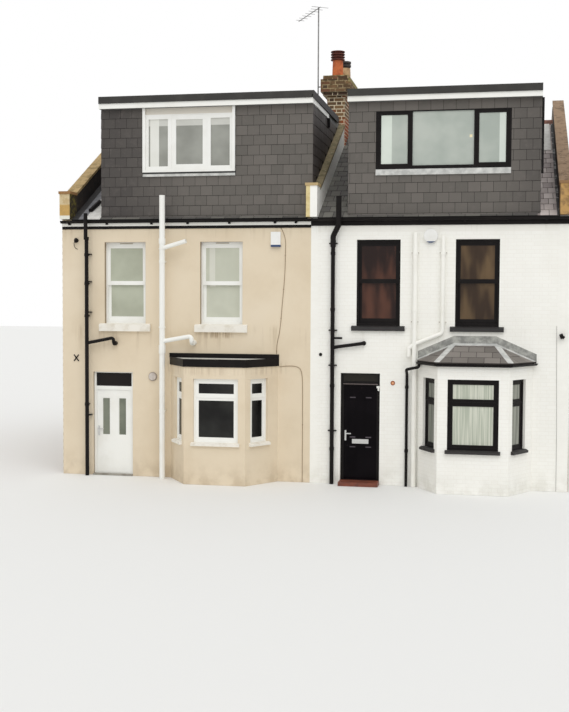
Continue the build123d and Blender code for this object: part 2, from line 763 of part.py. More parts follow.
# Party walls, copings and kneelers
stack_body = box(*STACK_X, *STACK_Y, RIDGE_Z - CHIMNEY_BELOW, CHIMNEY_TOP)
write("party_wall_left", party_wall(*PARAPETS[0], LEFT_X - PARTY_T / 2, LEFT_IN))
write("party_wall_middle", party_wall(*PARAPETS[1], MIDDLE_CHEEK, RIGHT_IN) - stack_body)
write("party_wall_right", party_wall(*PARAPETS[2], RIGHT_OUT, RIGHT_X + PARTY_T / 2))
copings = []
for (centre, rise, _), x0, x1 in (
    (PARAPETS[0], LEFT_X - PARTY_T / 2, LEFT_IN),
    (PARAPETS[1], MIDDLE_CHEEK + COPING_LIP, RIGHT_IN),
    (PARAPETS[2], RIGHT_OUT, RIGHT_X + PARTY_T / 2),
):
    garden_end = STACK_Y[0] if centre == 0 else RIDGE_Y
    street_end = STACK_Y[1] + CUT if centre == 0 else RIDGE_Y + CUT
    street_sides = (centre - PARTY_T / 2, centre + PARTY_T / 2)
    copings.append(coping(x0, x1, KNEELER_BACK, garden_end, rise))
    copings.append(coping(*street_sides, street_end, DEPTH, STREET_PARAPET_RISE))
write("parapet_copings", *copings)
left_kneeler, middle_kneeler, right_kneeler = [kneeler(centre, high) for centre, _, high in PARAPETS]
behind = box(-PARTY_T, MIDDLE_CHEEK, DORMER_FACE, KNEELER_BACK + CUT, KNEELER_FOOT, DORMER_SOFFIT)
write("kneelers", left_kneeler, middle_kneeler - behind, right_kneeler)

# Floors
LOFT_FLOOR_Z = WALL_HEAD - LOFT_DROP
for name, left, right in (
    ("ground_floors", (0, LEFT_FLOOR_Z), (0, RIGHT_FLOOR_Z)),
    ("first_floors", (FIRST_FLOOR_Z - FLOOR_T, FIRST_FLOOR_Z), (FIRST_FLOOR_Z - FLOOR_T, FIRST_FLOOR_Z)),
    ("loft_floors", (LOFT_FLOOR_Z - FLOOR_T, LOFT_FLOOR_Z), (LOFT_FLOOR_Z - FLOOR_T, LOFT_FLOOR_Z)),
):
    write(
        name,
        box(LEFT_IN, LEFT_OUT, WALL_T, STREET_IN, *left),
        box(RIGHT_IN, RIGHT_OUT, WALL_T, STREET_IN, *right),
    )


def garden_wall(side, x0, x1, door, bay_shape, sash, stone):
    """Piers, upper wall, bay, sash windows and sills of one house's garden side."""
    door_x, door_w, head = door
    walls, frames, glass, sills = bay(*bay_shape)
    panes.extend(glass)
    mouth = bay_plan(*bay_shape[:3], BAY_OUT, BAY_WALL_T)
    piers = [
        box(a, b, 0, WALL_T, 0, head)
        for a, b in ((x0, door_x), (door_x + door_w, mouth[0][0]), (mouth[3][0], x1))
    ]
    upper = box(x0, x1, 0, WALL_T, head, WALL_HEAD)
    places, height, foot, meeting, reveal = sash
    sill_h, lap = stone
    depth = reveal + SILL_BED_LAP
    windows = []
    for centre, width in places:
        half = width / 2
        upper = upper - box(centre - half, centre + half, -CUT, WALL_T + CUT, foot, foot + height)
        upper = upper - sill_bed(centre, width, foot, 0, depth)
        frame, lights = sash_window(centre, width, foot, height, meeting, reveal)
        windows.append(frame)
        panes.extend(lights)
        sills.append(sill(centre, width, lap, foot, sill_h, 0, -SILL_OUT, depth))
    write(f"{side}_garden_piers", *piers)
    write(f"{side}_garden_wall", upper)
    write(f"{side}_bay_walls", walls)
    write(f"{side}_bay_windows", *frames)
    write(f"{side}_sash_windows", *windows)
    return sills


left_bay_shape = (
    LEFT_BAY_X, LEFT_BAY_W, LEFT_BAY_FRONT, LEFT_BAY_LIGHTS, LEFT_BAY_HEAD, LEFT_BAY_TOP
)
right_bay_shape = (
    RIGHT_BAY_X, RIGHT_BAY_W, RIGHT_BAY_FRONT, RIGHT_BAY_LIGHTS, RIGHT_BAY_HEAD, RIGHT_BAY_TOP
)
left_sills = garden_wall(
    "left", LEFT_IN, LEFT_OUT, (LEFT_DOOR_X, LEFT_DOOR_W, LEFT_DOOR_HEAD), left_bay_shape,
    (LEFT_SASHES, LEFT_SASH_H, FIRST_FLOOR_Z + LEFT_SASH_UP, LEFT_MEETING, REVEAL),
    (LEFT_SILL_H, LEFT_SILL_LAP),
)
right_sills = garden_wall(
    "right", RIGHT_IN, RIGHT_OUT, (RIGHT_DOOR_X, RIGHT_DOOR_W, RIGHT_DOOR_HEAD), right_bay_shape,
    (RIGHT_SASHES, RIGHT_SASH_H, FIRST_FLOOR_Z + RIGHT_SASH_UP, RIGHT_MEETING, RIGHT_REVEAL),
    (RIGHT_SILL_H, RIGHT_SILL_LAP),
)

# Garden doors
fixed_hinges = []
left_frame, light = door_frame(
    LEFT_DOOR_X, LEFT_DOOR_W, LEFT_DOOR_HEAD, LEFT_LEAF_TOP, LEFT_LEAF_FOOT, LEFT_FLOOR_Z
)
panes.append(light)
leaf, leaf_glass, latch, hung = glazed_leaf(LEFT_DOOR_X, LEFT_DOOR_W, LEFT_LEAF_TOP, LEFT_LEAF_FOOT)
fixed, turning = hinges(hung + DOOR_GAP, LEFT_LEAF_FOOT, LEFT_LEAF_TOP)
fixed_hinges += fixed
levers = [
    lever_handle(latch, LEFT_LEAF_FOOT + HANDLE_UP, DOOR_FACE, -1),
    lever_handle(latch, LEFT_LEAF_FOOT + HANDLE_UP, DOOR_FACE + LEAF_T, 1),
]
write("left_door_frame", left_frame)
write("left_door_leaf", leaf)
write("left_door_panes", *leaf_glass)
write("left_door_furniture", *levers, *turning)

right_frame, light = door_frame(
    RIGHT_DOOR_X, RIGHT_DOOR_W, RIGHT_DOOR_HEAD, RIGHT_LEAF_TOP, RIGHT_LEAF_FOOT, RIGHT_FLOOR_Z
)
panes.append(light)
leaf, latch, hung = panelled_leaf(RIGHT_DOOR_X, RIGHT_DOOR_W, RIGHT_LEAF_TOP, RIGHT_LEAF_FOOT)
fixed, turning = hinges(hung + DOOR_GAP, RIGHT_LEAF_FOOT, RIGHT_LEAF_TOP)
fixed_hinges += fixed
letter_x = (latch + hung) / 2
letter_z = RIGHT_LEAF_FOOT + LETTER_UP
letter_plate = box(
    letter_x - LETTER_W / 2, letter_x + LETTER_W / 2, DOOR_FACE - LETTER_T, DOOR_FACE,
    letter_z - LETTER_H / 2, letter_z + LETTER_H / 2,
)
levers = [
    lever_handle(latch, RIGHT_LEAF_FOOT + HANDLE_UP, DOOR_FACE, -1),
    lever_handle(latch, RIGHT_LEAF_FOOT + HANDLE_UP, DOOR_FACE + LEAF_T, 1),
]
write("right_door_frame", right_frame)
write("right_door_leaf", leaf)
write("right_door_furniture", *levers, letter_plate, *turning)
write("door_hinges", *fixed_hinges)
frame_face = DOOR_FACE - STOP_T
write("right_step", box(RIGHT_DOOR_X, RIGHT_DOOR_X + RIGHT_DOOR_W, -STEP_OUT, frame_face, 0, RIGHT_FLOOR_Z))
write("left_step", box(LEFT_DOOR_X, LEFT_DOOR_X + LEFT_DOOR_W, -THRESHOLD_OUT, frame_face, 0, LEFT_FLOOR_Z))

# Left bay's flat roof: a deck inside a deep fascia, with an upstand at the wall
edge = bay_plan(LEFT_BAY_X, LEFT_BAY_W, LEFT_BAY_FRONT, BAY_OUT, -LEFT_BAY_OVERHANG)
deck_edge = bay_plan(LEFT_BAY_X, LEFT_BAY_W, LEFT_BAY_FRONT, BAY_OUT, FASCIA_T - LEFT_BAY_OVERHANG)
deck_top = LEFT_BAY_TOP + LEFT_BAY_DECK
upstand = box(edge[0][0], edge[3][0], -FASCIA_T, 0, deck_top, deck_top + LEFT_BAY_UPSTAND)
deck = prism_z(deck_edge, LEFT_BAY_TOP, deck_top)
band = prism_z(edge, LEFT_BAY_TOP, LEFT_BAY_TOP + LEFT_BAY_FASCIA)
band = band - prism_z(deck_edge, LEFT_BAY_TOP - CUT, LEFT_BAY_TOP + LEFT_BAY_FASCIA + CUT)
write("left_bay_roof", deck)
write("left_bay_fascia", band + upstand)

# Right bay's hipped slate roof, with lead on its hips and against the wall
wall_line = bay_plan(RIGHT_BAY_X, RIGHT_BAY_W, RIGHT_BAY_FRONT, BAY_OUT, 0)
slate_edge = bay_plan(RIGHT_BAY_X, RIGHT_BAY_W, RIGHT_BAY_FRONT, BAY_OUT, -RIGHT_BAY_OVERHANG)
eaves_low = RIGHT_BAY_TOP + RIGHT_BAY_EAVES
eaves_high = eaves_low + SLATE_T
crown = RIGHT_BAY_TOP + RIGHT_BAY_RISE
ridge = [(RIGHT_BAY_X - RIGHT_BAY_RIDGE_W / 2, 0), (RIGHT_BAY_X + RIGHT_BAY_RIDGE_W / 2, 0)]
hips = ConvexPolyhedron(
    [(x, y, z) for x, y in slate_edge for z in (eaves_low, eaves_high)] + [(x, y, crown) for x, y in ridge]
)
trim = box(
    wall_line[0][0] + RIGHT_BAY_CUT, slate_edge[3][0],
    -2 * BAY_OUT, 0, RIGHT_BAY_TOP - CUT, crown + LEAD_UPSTAND + CUT,
)
slates = hips & trim
write("right_bay_roof", slates + (prism_z(wall_line, RIGHT_BAY_TOP, eaves_low + CUT) - hips))
skin = ((Pos(0, 0, LEAD_T) * slates) - slates) & trim
strips = [box(slate_edge[0][0], slate_edge[3][0], -LEAD_DRESS, 0, RIGHT_BAY_TOP, crown + LEAD_UPSTAND)]
for (cx, cy), (rx, ry) in ((slate_edge[1], ridge[0]), (slate_edge[2], ridge[1])):
    turn = math.degrees(math.atan2(ry - cy, rx - cx))
    length = math.hypot(rx - cx, ry - cy)
    run = box(0, length, -HIP_LEAD_W / 2, HIP_LEAD_W / 2, eaves_high - LEAD_T, crown + LEAD_UPSTAND)
    strips.append(Pos(cx, cy, 0) * Rot(0, 0, turn) * run)
leads += [skin & joined(strips)]
hip_slope = (crown - eaves_high) / (ridge[0][0] - slate_edge[0][0])
low_x = wall_line[0][0] + RIGHT_BAY_CUT
low_z = eaves_high + (low_x - slate_edge[0][0]) * hip_slope + LEAD_T
trace = [(low_x, low_z), (ridge[0][0], crown + LEAD_T), (ridge[1][0], crown + LEAD_T),
         (slate_edge[3][0], eaves_high + LEAD_T)]
flashing = trace + [(x, z + LEAD_UPSTAND) for x, z in reversed(trace)]
leads.append(extrude(Plane.XZ * make_face(Polyline(*flashing, close=True)), LEAD_T))

# Main roofs


def main_roof(side, x0, x1, dormer):
    """The garden slope of one house, either side of and in front of its dormer."""
    slope = garden_slope(x0, x1)
    slope = slope - box(dormer[0], dormer[1], DORMER_FACE, RIDGE_Y + CUT, WALL_HEAD - CUT, RIDGE_Z + CUT)
    write(f"{side}_garden_roof", slope - stack_body)


main_roof("left", LEFT_IN, LEFT_OUT, (LEFT_DORMER[0], LEFT_OUT))
main_roof("right", RIGHT_IN, RIGHT_OUT, RIGHT_DORMER)
write("street_roofs", street_slope(LEFT_IN, LEFT_OUT) - stack_body, street_slope(RIGHT_IN, RIGHT_OUT) - stack_body)

# Dormer windows
face = DORMER_FACE
dormer_back = DORMER_FACE + DORMER_WALL_T
left_foot = WALL_HEAD + LEFT_SURROUND_UP
left_x0 = LEFT_SURROUND_X - LEFT_SURROUND_W / 2
left_x1 = LEFT_SURROUND_X + LEFT_SURROUND_W / 2
left_top = DORMER_SOFFIT - HEAD_BOARD_H
lights = light_row(
    left_x0, left_x1, LEFT_LIGHT_EDGE, LEFT_MULLION, LEFT_LIGHTS, LEFT_MARGINS, left_foot, left_top
)
window, glass = lights_window(
    left_x0 + SURROUND_POST, left_x1 - SURROUND_POST, face, left_foot, left_top, lights, LEFT_CASEMENT_RAIL
)
panes += glass
posts = [
    box(a, a + SURROUND_POST, face - SURROUND_OUT, face + FRAME_D, left_foot, DORMER_SOFFIT)
    for a in (left_x0, left_x1 - SURROUND_POST)
]
head_board = box(
    left_x0 + SURROUND_POST, left_x1 - SURROUND_POST, face, face + FRAME_D / 2, left_top, DORMER_SOFFIT
)
foot_rail = box(
    left_x0 + SURROUND_POST, left_x1 - SURROUND_POST, face - SURROUND_OUT, face,
    left_foot, left_foot + SURROUND_FOOT,
)
write("left_dormer_window", joined([window, head_board, foot_rail] + posts))
right_foot = WALL_HEAD + RIGHT_WINDOW_UP
right_x0 = RIGHT_WINDOW_X - RIGHT_WINDOW_W / 2
right_x1 = RIGHT_WINDOW_X + RIGHT_WINDOW_W / 2
right_top = DORMER_SOFFIT - RIGHT_WINDOW_DROP
lights = light_row(
    right_x0, right_x1, RIGHT_LIGHT_EDGE, RIGHT_MULLION, RIGHT_LIGHTS, RIGHT_MARGINS, right_foot, right_top
)
window, glass = lights_window(
    right_x0, right_x1, face - SASH_BACK, right_foot, right_top, lights, RIGHT_CASEMENT_RAIL
)
panes += glass
write("right_dormer_window", window)
for x0, x1, foot, deep in (
    (left_x0, left_x1, left_foot, LEFT_APRON_H), (right_x0, right_x1, right_foot, RIGHT_APRON_H)
):
    apron = [(face, foot), (face - LEAD_T, foot), (face - APRON_OUT, foot - deep + LEAD_T),
             (face - APRON_OUT, foot - deep), (face, foot - deep)]
    leads.append(prism_x(apron, x0, x1))
write("lead_flashings", *leads)

# Dormer walls, roofs, fascias and kerbs
left_hole = box(left_x0, left_x1, 0, dormer_back + CUT, left_foot, DORMER_SOFFIT + CUT)
right_hole = box(right_x0, right_x1, 0, dormer_back + CUT, right_foot, right_top)
left_front = box(LEFT_DORMER[0], LEFT_OUT, face, dormer_back, WALL_HEAD, DORMER_SOFFIT)
left_front = left_front + box(LEFT_OUT, MIDDLE_CHEEK, face, dormer_back, KNEELER_FOOT, DORMER_SOFFIT)
right_front = box(*RIGHT_DORMER, face, dormer_back, WALL_HEAD, DORMER_SOFFIT)
write("dormer_fronts", left_front - left_hole, right_front - right_hole)


def cheek(x0, x1, drop):
    """A dormer's side wall; drop is how far it goes down below the slates."""
    points = [
        (dormer_back, slate_line(dormer_back) - drop),
        (DORMER_REACH, DORMER_SOFFIT - drop),
        (DORMER_REACH, DORMER_SOFFIT),
        (dormer_back, DORMER_SOFFIT),
    ]
    return prism_x(points if drop else points[:2] + points[3:], x0, x1)


write(
    "dormer_cheeks",
    cheek(LEFT_DORMER[0], LEFT_DORMER[0] + DORMER_CHEEK_T, RISE),
    cheek(LEFT_OUT, MIDDLE_CHEEK, 0) - stack_body,
    cheek(RIGHT_DORMER[0], RIGHT_DORMER[0] + DORMER_CHEEK_T, RISE),
    cheek(RIGHT_DORMER[1] - DORMER_CHEEK_T, RIGHT_DORMER[1], RISE),
)
front_edge = DORMER_FACE - DORMER_EAVES
fascia_face = front_edge - FASCIA_T
kerb_face = fascia_face - KERB_T
fascia_top = DORMER_SOFFIT + FASCIA_H
decks = []
fascias = []
kerbs = []
for x0, x1, left_lap, right_lap in (
    (*LEFT_DORMER, DORMER_SIDE_LAP, 0),
    (*RIGHT_DORMER, DORMER_SIDE_LAP, DORMER_SIDE_LAP),
):
    out0 = x0 - left_lap
    out1 = x1 + right_lap
    lap_end = DORMER_REACH - DORMER_CHEEK_T
    deck = box(out0, out1, front_edge, lap_end, DORMER_SOFFIT, DECK_TOP)
    deck = deck + box(x0, x1, front_edge, RIDGE_Y, DORMER_SOFFIT, DECK_TOP)
    decks.append(deck - stack_body)
    fascias.append(box(out0, out1, fascia_face, front_edge, DORMER_SOFFIT, fascia_top))
    kerb = box(out0, out1, kerb_face, front_edge + KERB_W, DECK_TOP, DECK_TOP + KERB_H)
    kerbs.append(kerb + box(out0, out1, kerb_face, fascia_face, fascia_top, DECK_TOP))
return_end = COPING_MEETS_SOFFIT - KERB_W
cheek_fascia = box(
    MIDDLE_CHEEK, MIDDLE_CHEEK + FASCIA_T, fascia_face, FASCIA_RETURN, DORMER_SOFFIT, fascia_top
)
fascias[0] = fascias[0] + cheek_fascia
kerb_out = MIDDLE_CHEEK + FASCIA_T + KERB_T
side_kerb = box(MIDDLE_CHEEK - KERB_W, kerb_out, kerb_face, return_end, DECK_TOP, DECK_TOP + KERB_H)
side_lip = box(MIDDLE_CHEEK + FASCIA_T, kerb_out, kerb_face, return_end, fascia_top, DECK_TOP)
stack_kerb = box(MIDDLE_CHEEK - KERB_W, MIDDLE_CHEEK, return_end, STACK_Y[0], DECK_TOP, DECK_TOP + KERB_H)
kerbs[0] = kerbs[0] + side_kerb + side_lip + stack_kerb
write("dormer_roofs", *decks)
write("dormer_fascias", *fascias)
write("dormer_kerbs", *kerbs)

# Ridge tiles
tile_foot = RIDGE_Z - RIDGE_TILE_W * SLOPE
profile = [
    (RIDGE_Y - RIDGE_TILE_W, tile_foot + RIDGE_TILE_T), (RIDGE_Y, RIDGE_Z + RIDGE_TILE_CROWN),
    (RIDGE_Y + RIDGE_TILE_W, tile_foot + RIDGE_TILE_T), (RIDGE_Y + RIDGE_TILE_W, tile_foot),
    (RIDGE_Y, RIDGE_Z), (RIDGE_Y - RIDGE_TILE_W, tile_foot),
]
write(
    "ridge_tiles",
    prism_x(profile, LEFT_IN, min(STACK_X[0], LEFT_OUT)) - decks[0],
    prism_x(profile, max(STACK_X[1], RIGHT_IN), RIGHT_OUT) - decks[1],
)

# Chimney and its pots
stack = stack_body
level = CHIMNEY_TOP
for out, height in CORBELS:
    stack = stack + box(STACK_X[0] - out, STACK_X[1] + out, STACK_Y[0] - out, STACK_Y[1] + out, level - height, level)
    level -= height


def flaunching(place, height):
    """A pyramid of mortar that beds a pot, and the point where the pot stands."""
    y = STACK_Y[0] + place[0]
    x = CHIMNEY_X + place[1]
    reach = min(x - STACK_X[0], STACK_X[1] - x) + CORBELS[0][0]
    foot = Rectangle(2 * reach, 2 * reach)
    head = Pos(0, 0, height) * Rectangle(2 * POT_R + POT_WALL, 2 * POT_R + POT_WALL)
    return Pos(x, y, CHIMNEY_TOP) * loft([foot, head], ruled=True), (x, y, CHIMNEY_TOP + height)


def clay_pot(x, y, z, height):
    """A tapered clay pot, open at the top."""
    shell = extrude(RegularPolygon(POT_R, POT_SIDES), height, taper=POT_TAPER)
    bore = Pos(0, 0, POT_WALL) * extrude(RegularPolygon(POT_R - POT_WALL, POT_SIDES), height, taper=POT_TAPER)
    return Pos(x, y, z) * (shell - bore)


front_bed, front_seat = flaunching(FRONT_POT, FLAUNCH_FRONT)
rear_bed, rear_seat = flaunching(REAR_POT, FLAUNCH_REAR)
write("chimney_stack", stack + front_bed + rear_bed)
x, y, z = front_seat
z += FRONT_POT_H
louvres = [post(x, y, z - LOUVRE_STEP, LOUVRE_CORE_R, 4 * LOUVRE_STEP, PIPE_SIDES)]
louvres += [post(x, y, z + k * LOUVRE_STEP, LOUVRE_R, LOUVRE_T, POT_SIDES) for k in range(4)]
front_pot = joined([clay_pot(*front_seat, FRONT_POT_H)] + louvres)
x, y, z = rear_seat
z += REAR_POT_H
cowl = [post(x, y, z - COWL_STEP, LOUVRE_CORE_R, 2 * COWL_STEP + COWL_T, PIPE_SIDES)]
cowl += [post(x, y, z + k * COWL_STEP, COWL_R, COWL_T, POT_SIDES) for k in (0.4, 1.4)]
rear_pot = joined([clay_pot(*rear_seat, REAR_POT_H)] + cowl)
write("chimney_pots", front_pot, rear_pot)

# Aerial on the chimney's left side
mast_x = STACK_X[0] - CORBELS[1][0] - MAST_OUT
mast_y = STACK_Y[0] + MAST_OUT
mast_top = CHIMNEY_TOP + MAST_ABOVE
mast = post(mast_x, mast_y, CHIMNEY_TOP - MAST_BELOW, MAST_R, MAST_BELOW + MAST_ABOVE, SMALL_SIDES)
bracket_z = CHIMNEY_TOP - CORBELS[0][1] - CORBELS[1][1] / 2
bracket = box(
    mast_x, STACK_X[0] - CORBELS[1][0], mast_y - BRACKET_T / 2, mast_y + BRACKET_T / 2,
    bracket_z, bracket_z + BRACKET_T,
)
place = Pos(mast_x, mast_y, mast_top - 2 * BOOM_R) * Rot(0, 0, BOOM_TURN)
bars = [place * post(-BOOM_TAIL, 0, 0, BOOM_R, BOOM_L + BOOM_TAIL, 8, (0, 90, 0))]
for along, width in ELEMENTS:
    bars.append(place * post(along, width / 2, 0, ELEMENT_R, width, 6, (90, 0, 0)))
write("tv_aerial", joined([mast, bracket] + bars))

# Eaves boards and gutters
gutter_y = -EAVES_BOARD_T - GUTTER_R
left_end = LEFT_X - PARTY_T / 2
right_end = RIGHT_X + PARTY_T / 2
left_board = box(
    left_end, PAINT_LINE, -EAVES_BOARD_T, 0, EAVES_TOP - LEFT_EAVES_BOARD_H, EAVES_TOP
)
write("left_eaves_board", left_board)
board_line = bay_plan(RIGHT_BAY_X, RIGHT_BAY_W, RIGHT_BAY_FRONT, BAY_OUT, -FASCIA_T)
bay_board = prism_z(board_line, eaves_low - BAY_BOARD_H, eaves_low) - prism_z(
    wall_line, eaves_low - BAY_BOARD_H - CUT, eaves_low + CUT
)
write(
    "right_eaves_board",
    box(PAINT_LINE, right_end, -EAVES_BOARD_T, 0, EAVES_TOP - RIGHT_EAVES_BOARD_H, EAVES_TOP),
    bay_board & trim,
)
gutter_line = bay_plan(RIGHT_BAY_X, RIGHT_BAY_W, RIGHT_BAY_FRONT, BAY_OUT, -FASCIA_T - BAY_GUTTER_R)
rim = eaves_low - GUTTER_DROP
street_gutter = Pos(0, DEPTH, 0) * Rot(0, 0, 180) * gutter(-right_end, -left_end, -GUTTER_R, EAVES_TOP)
write(
    "gutters",
    gutter(left_end, PAINT_LINE - GUTTER_JOINT / 2, gutter_y, EAVES_TOP),
    gutter(PAINT_LINE + GUTTER_JOINT / 2, right_end, gutter_y, EAVES_TOP),
    mitred_gutter(gutter_line, rim, BAY_GUTTER_R, GUTTER_WALL),
    street_gutter,
)


def wall_offset(radius):
    """How far a pipe's middle stands from the wall."""
    return radius + COLLAR + COLLAR_WALL


def branch(x, y, radius, reach, foot, end, fall):
    """A waste pipe that rises to the right from a stack, may turn down, and enters the wall at a boss."""
    far = x + reach
    points = [(x, -y, foot), (far, -y, end)]
    if fall:
        points.append((far, -y, end - fall))
    bend = radius * BRANCH_BEND
    boss = post(far, 0, end - fall, radius + BOSS, y - bend - BOSS_GAP, rot=(90, 0, 0))
    return pipe(points + [(far, 0, end - fall)], radius, bend) + boss


# Left house: black stack and white soil stack, both in front of the gutter
off = PIPE_OFF + STACK_R
step_z = BLACK_SOCKETS[0][0]
back = off - BLACK_STEP
black = [post(BLACK_STACK_X, -off, step_z, STACK_R, EAVES_TOP + BLACK_STACK_UP - step_z)]
black.append(post(BLACK_STACK_X, -back, 0, STACK_R, step_z + BLACK_SOCKETS[0][1]))
black.append(branch(BLACK_STACK_X, back, STACK_BRANCH_R, *BLACK_BRANCH))
black += collars(BLACK_STACK_X, -back, STACK_R, BLACK_CLIPS)
black += sockets(BLACK_STACK_X, -back, STACK_R, BLACK_SOCKETS)
outlet = post(
    MIDDLE_CHEEK + RAIN_R, FASCIA_RETURN - DORMER_PIPE_BACK, DORMER_SOFFIT - DORMER_PIPE_L,
    RAIN_R, DORMER_PIPE_L,
)
write("left_black_pipe", joined(black), outlet)
off = PIPE_OFF + SOIL_R
white = [post(SOIL_STACK_X, -off, 0, SOIL_R, EAVES_TOP + SOIL_STACK_UP)]
white += [branch(SOIL_STACK_X, off, SOIL_BRANCH_R, *shape) for shape in SOIL_BRANCHES]
reach, foot, end = SOIL_OPEN
length = math.hypot(reach, end - foot)
turn = (0, math.degrees(math.atan2(reach, end - foot)), 0)
place = Pos(SOIL_STACK_X, -off, foot) * Rot(*turn)
bore = place * post(0, 0, length - PIPE_BORE, SOIL_BRANCH_R - PIPE_WALL, PIPE_BORE + CUT)
white.append(place * post(0, 0, 0, SOIL_BRANCH_R, length) - bore)
white += collars(SOIL_STACK_X, -off, SOIL_R, SOIL_CLIPS)
white += sockets(SOIL_STACK_X, -off, SOIL_R, SOIL_SOCKETS)
write("left_soil_stack", joined(white))

# Right house: black stack with a wider swan neck round the gutter, and the bay's downpipe
off = wall_offset(SWAN_TOP_R)
neck = EAVES_TOP - SWAN_DROP
path = [
    (SWAN_STACK_X, -off, neck - SWAN_RISE), (SWAN_STACK_X, -off, neck),
    (SWAN_STACK_TOP_X, -PIPE_OFF - SWAN_TOP_R, neck + SWAN_RISE),
    (SWAN_STACK_TOP_X, -PIPE_OFF - SWAN_TOP_R, EAVES_TOP + SWAN_STACK_UP),
]
swan = [pipe(path, SWAN_TOP_R, BEND), post(SWAN_STACK_X, -off, 0, STACK_R, neck)]
swan.append(branch(SWAN_STACK_X, off, STACK_BRANCH_R, *SWAN_BRANCH))
reach, height, radius = SWAN_STUB
swan.append(post(SWAN_STACK_X, -off, height, radius, reach, rot=(0, 90, 0)))
swan += collars(SWAN_STACK_X, -off, STACK_R, COLLAR_HEIGHTS)
start = tuple(p + (q - p) * BAY_OUTLET for p, q in zip(gutter_line[0], gutter_line[1]))
front = start[1]
top, bottom, seat = BAY_PIPE_NECK
rain_x = BAY_END_X - BAY_PIPE_OFF
path = [
    (*start, rim - BAY_GUTTER_R), (*start, top), (rain_x, front, bottom),
    (rain_x, -wall_offset(RAIN_R), seat), (rain_x, -wall_offset(RAIN_R), 0),
]
rain = [pipe(path, RAIN_R, SMALL_BEND)]
rain += collars(rain_x, -wall_offset(RAIN_R), RAIN_R, COLLAR_HEIGHTS[:2])
write("right_black_pipe", joined(swan), joined(rain))

# Right house: two painted waste pipes that join beside the bay
off = wall_offset(PAINTED_R)
main_x = BAY_END_X - PAINTED_PIPE_OFF
second_x = BAY_END_X + SECOND_PIPE_ON
painted = [post(main_x, -off, 0, PAINTED_R, EAVES_TOP - PAINTED_PIPE_DROP)]
path = [
    (second_x, -off, EAVES_TOP - SECOND_PIPE_DROP), (second_x, -off, SECOND_PIPE_FOOT),
    (main_x, -off, SECOND_PIPE_JOIN),
]
painted.append(pipe(path, STACK_R, BEND))
reach, high, low, foot = OLD_BRANCH
path = [(main_x, -off, high), (main_x - reach, -off, low), (main_x - reach, -off, foot)]
painted.append(pipe(path, STACK_R, SMALL_BEND))
painted += collars(main_x, -off, PAINTED_R, (COLLAR_HEIGHTS[0], *COLLAR_HEIGHTS[2:]))
painted += collars(second_x, -off, STACK_R, COLLAR_HEIGHTS[2:])
write("right_white_pipes", joined(painted))

# Alarm boxes
left, right, height = ALARM_BOX
alarm_foot = WALL_HEAD - ALARM_BOX_DROP
x, drop, radius = ROUND_ALARM
write(
    "alarm_boxes",
    box(left, right, -ALARM_T, 0, alarm_foot, alarm_foot + height),
    post(x, 0, WALL_HEAD - drop, radius, ALARM_T, POT_SIDES, (90, 0, 0)),
)

# Street side
street_walls = []
street_windows = []
street_doors = []
for x0, x1, door_x, sills in (
    (LEFT_IN, LEFT_OUT, LEFT_OUT - STREET_DOOR_IN - STREET_DOOR_W, left_sills),
    (RIGHT_IN, RIGHT_OUT, RIGHT_IN + STREET_DOOR_IN, right_sills),
):
    wall = box(x0, x1, STREET_IN, DEPTH, 0, WALL_HEAD)
    wall = wall - box(door_x, door_x + STREET_DOOR_W, STREET_IN - CUT, DEPTH + CUT, 0, STREET_DOOR_HEAD)
    door_face = DEPTH - STREET_DOOR_SET
    street_doors.append(
        box(door_x, door_x + STREET_DOOR_W, door_face, door_face + STREET_DOOR_T, 0, STREET_DOOR_HEAD)
    )
    quarters = [x0 + (x1 - x0) * share for share in (0.25, 0.75)]
    ground = quarters[0] if door_x > (x0 + x1) / 2 else quarters[1]
    upstairs = FIRST_FLOOR_Z + STREET_SASH_UP
    for centre, foot in ((quarters[0], upstairs), (quarters[1], upstairs), (ground, STREET_GROUND_FOOT)):
        half = STREET_SASH_W / 2
        depth = -REVEAL - SILL_BED_LAP
        wall = wall - box(
            centre - half, centre + half, STREET_IN - CUT, DEPTH + CUT, foot, foot + STREET_SASH_H
        )
        wall = wall - sill_bed(centre, STREET_SASH_W, foot, DEPTH, depth)
        frame, glass = sash_window(
            -centre, STREET_SASH_W, foot, STREET_SASH_H, STREET_MEETING, REVEAL
        )
        turn = Pos(0, DEPTH, 0) * Rot(0, 0, 180)
        street_windows.append(turn * frame)
        panes += [turn * sheet for sheet in glass]
        sills.append(
            sill(centre, STREET_SASH_W, RIGHT_SILL_LAP, foot, RIGHT_SILL_H, DEPTH, SILL_OUT, depth)
        )
    street_walls.append(wall)
write("street_walls", *street_walls)
write("street_windows", *street_windows)
write("street_doors", *street_doors)
write("left_sills", *left_sills)
write("right_sills", *right_sills)
write("window_panes", *panes)
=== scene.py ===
"""Dresses the pair of terraced houses: walls, slates, bricks, windows, pipes and leadwork."""
import math
import random

import bmesh
import bpy
from mathutils import Matrix, Vector


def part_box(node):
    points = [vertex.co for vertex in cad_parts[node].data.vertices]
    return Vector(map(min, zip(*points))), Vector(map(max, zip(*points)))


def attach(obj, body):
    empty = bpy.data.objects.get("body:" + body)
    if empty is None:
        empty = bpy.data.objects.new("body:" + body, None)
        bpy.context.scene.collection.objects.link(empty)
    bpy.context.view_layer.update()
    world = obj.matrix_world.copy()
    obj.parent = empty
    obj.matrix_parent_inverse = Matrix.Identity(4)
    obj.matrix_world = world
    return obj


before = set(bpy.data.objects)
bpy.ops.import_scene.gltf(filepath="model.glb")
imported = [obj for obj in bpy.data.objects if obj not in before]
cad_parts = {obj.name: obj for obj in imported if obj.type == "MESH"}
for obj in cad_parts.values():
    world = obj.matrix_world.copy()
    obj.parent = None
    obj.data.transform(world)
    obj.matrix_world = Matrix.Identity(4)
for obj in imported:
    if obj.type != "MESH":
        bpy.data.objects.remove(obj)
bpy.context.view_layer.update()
bpy.ops.object.select_all(action="DESELECT")

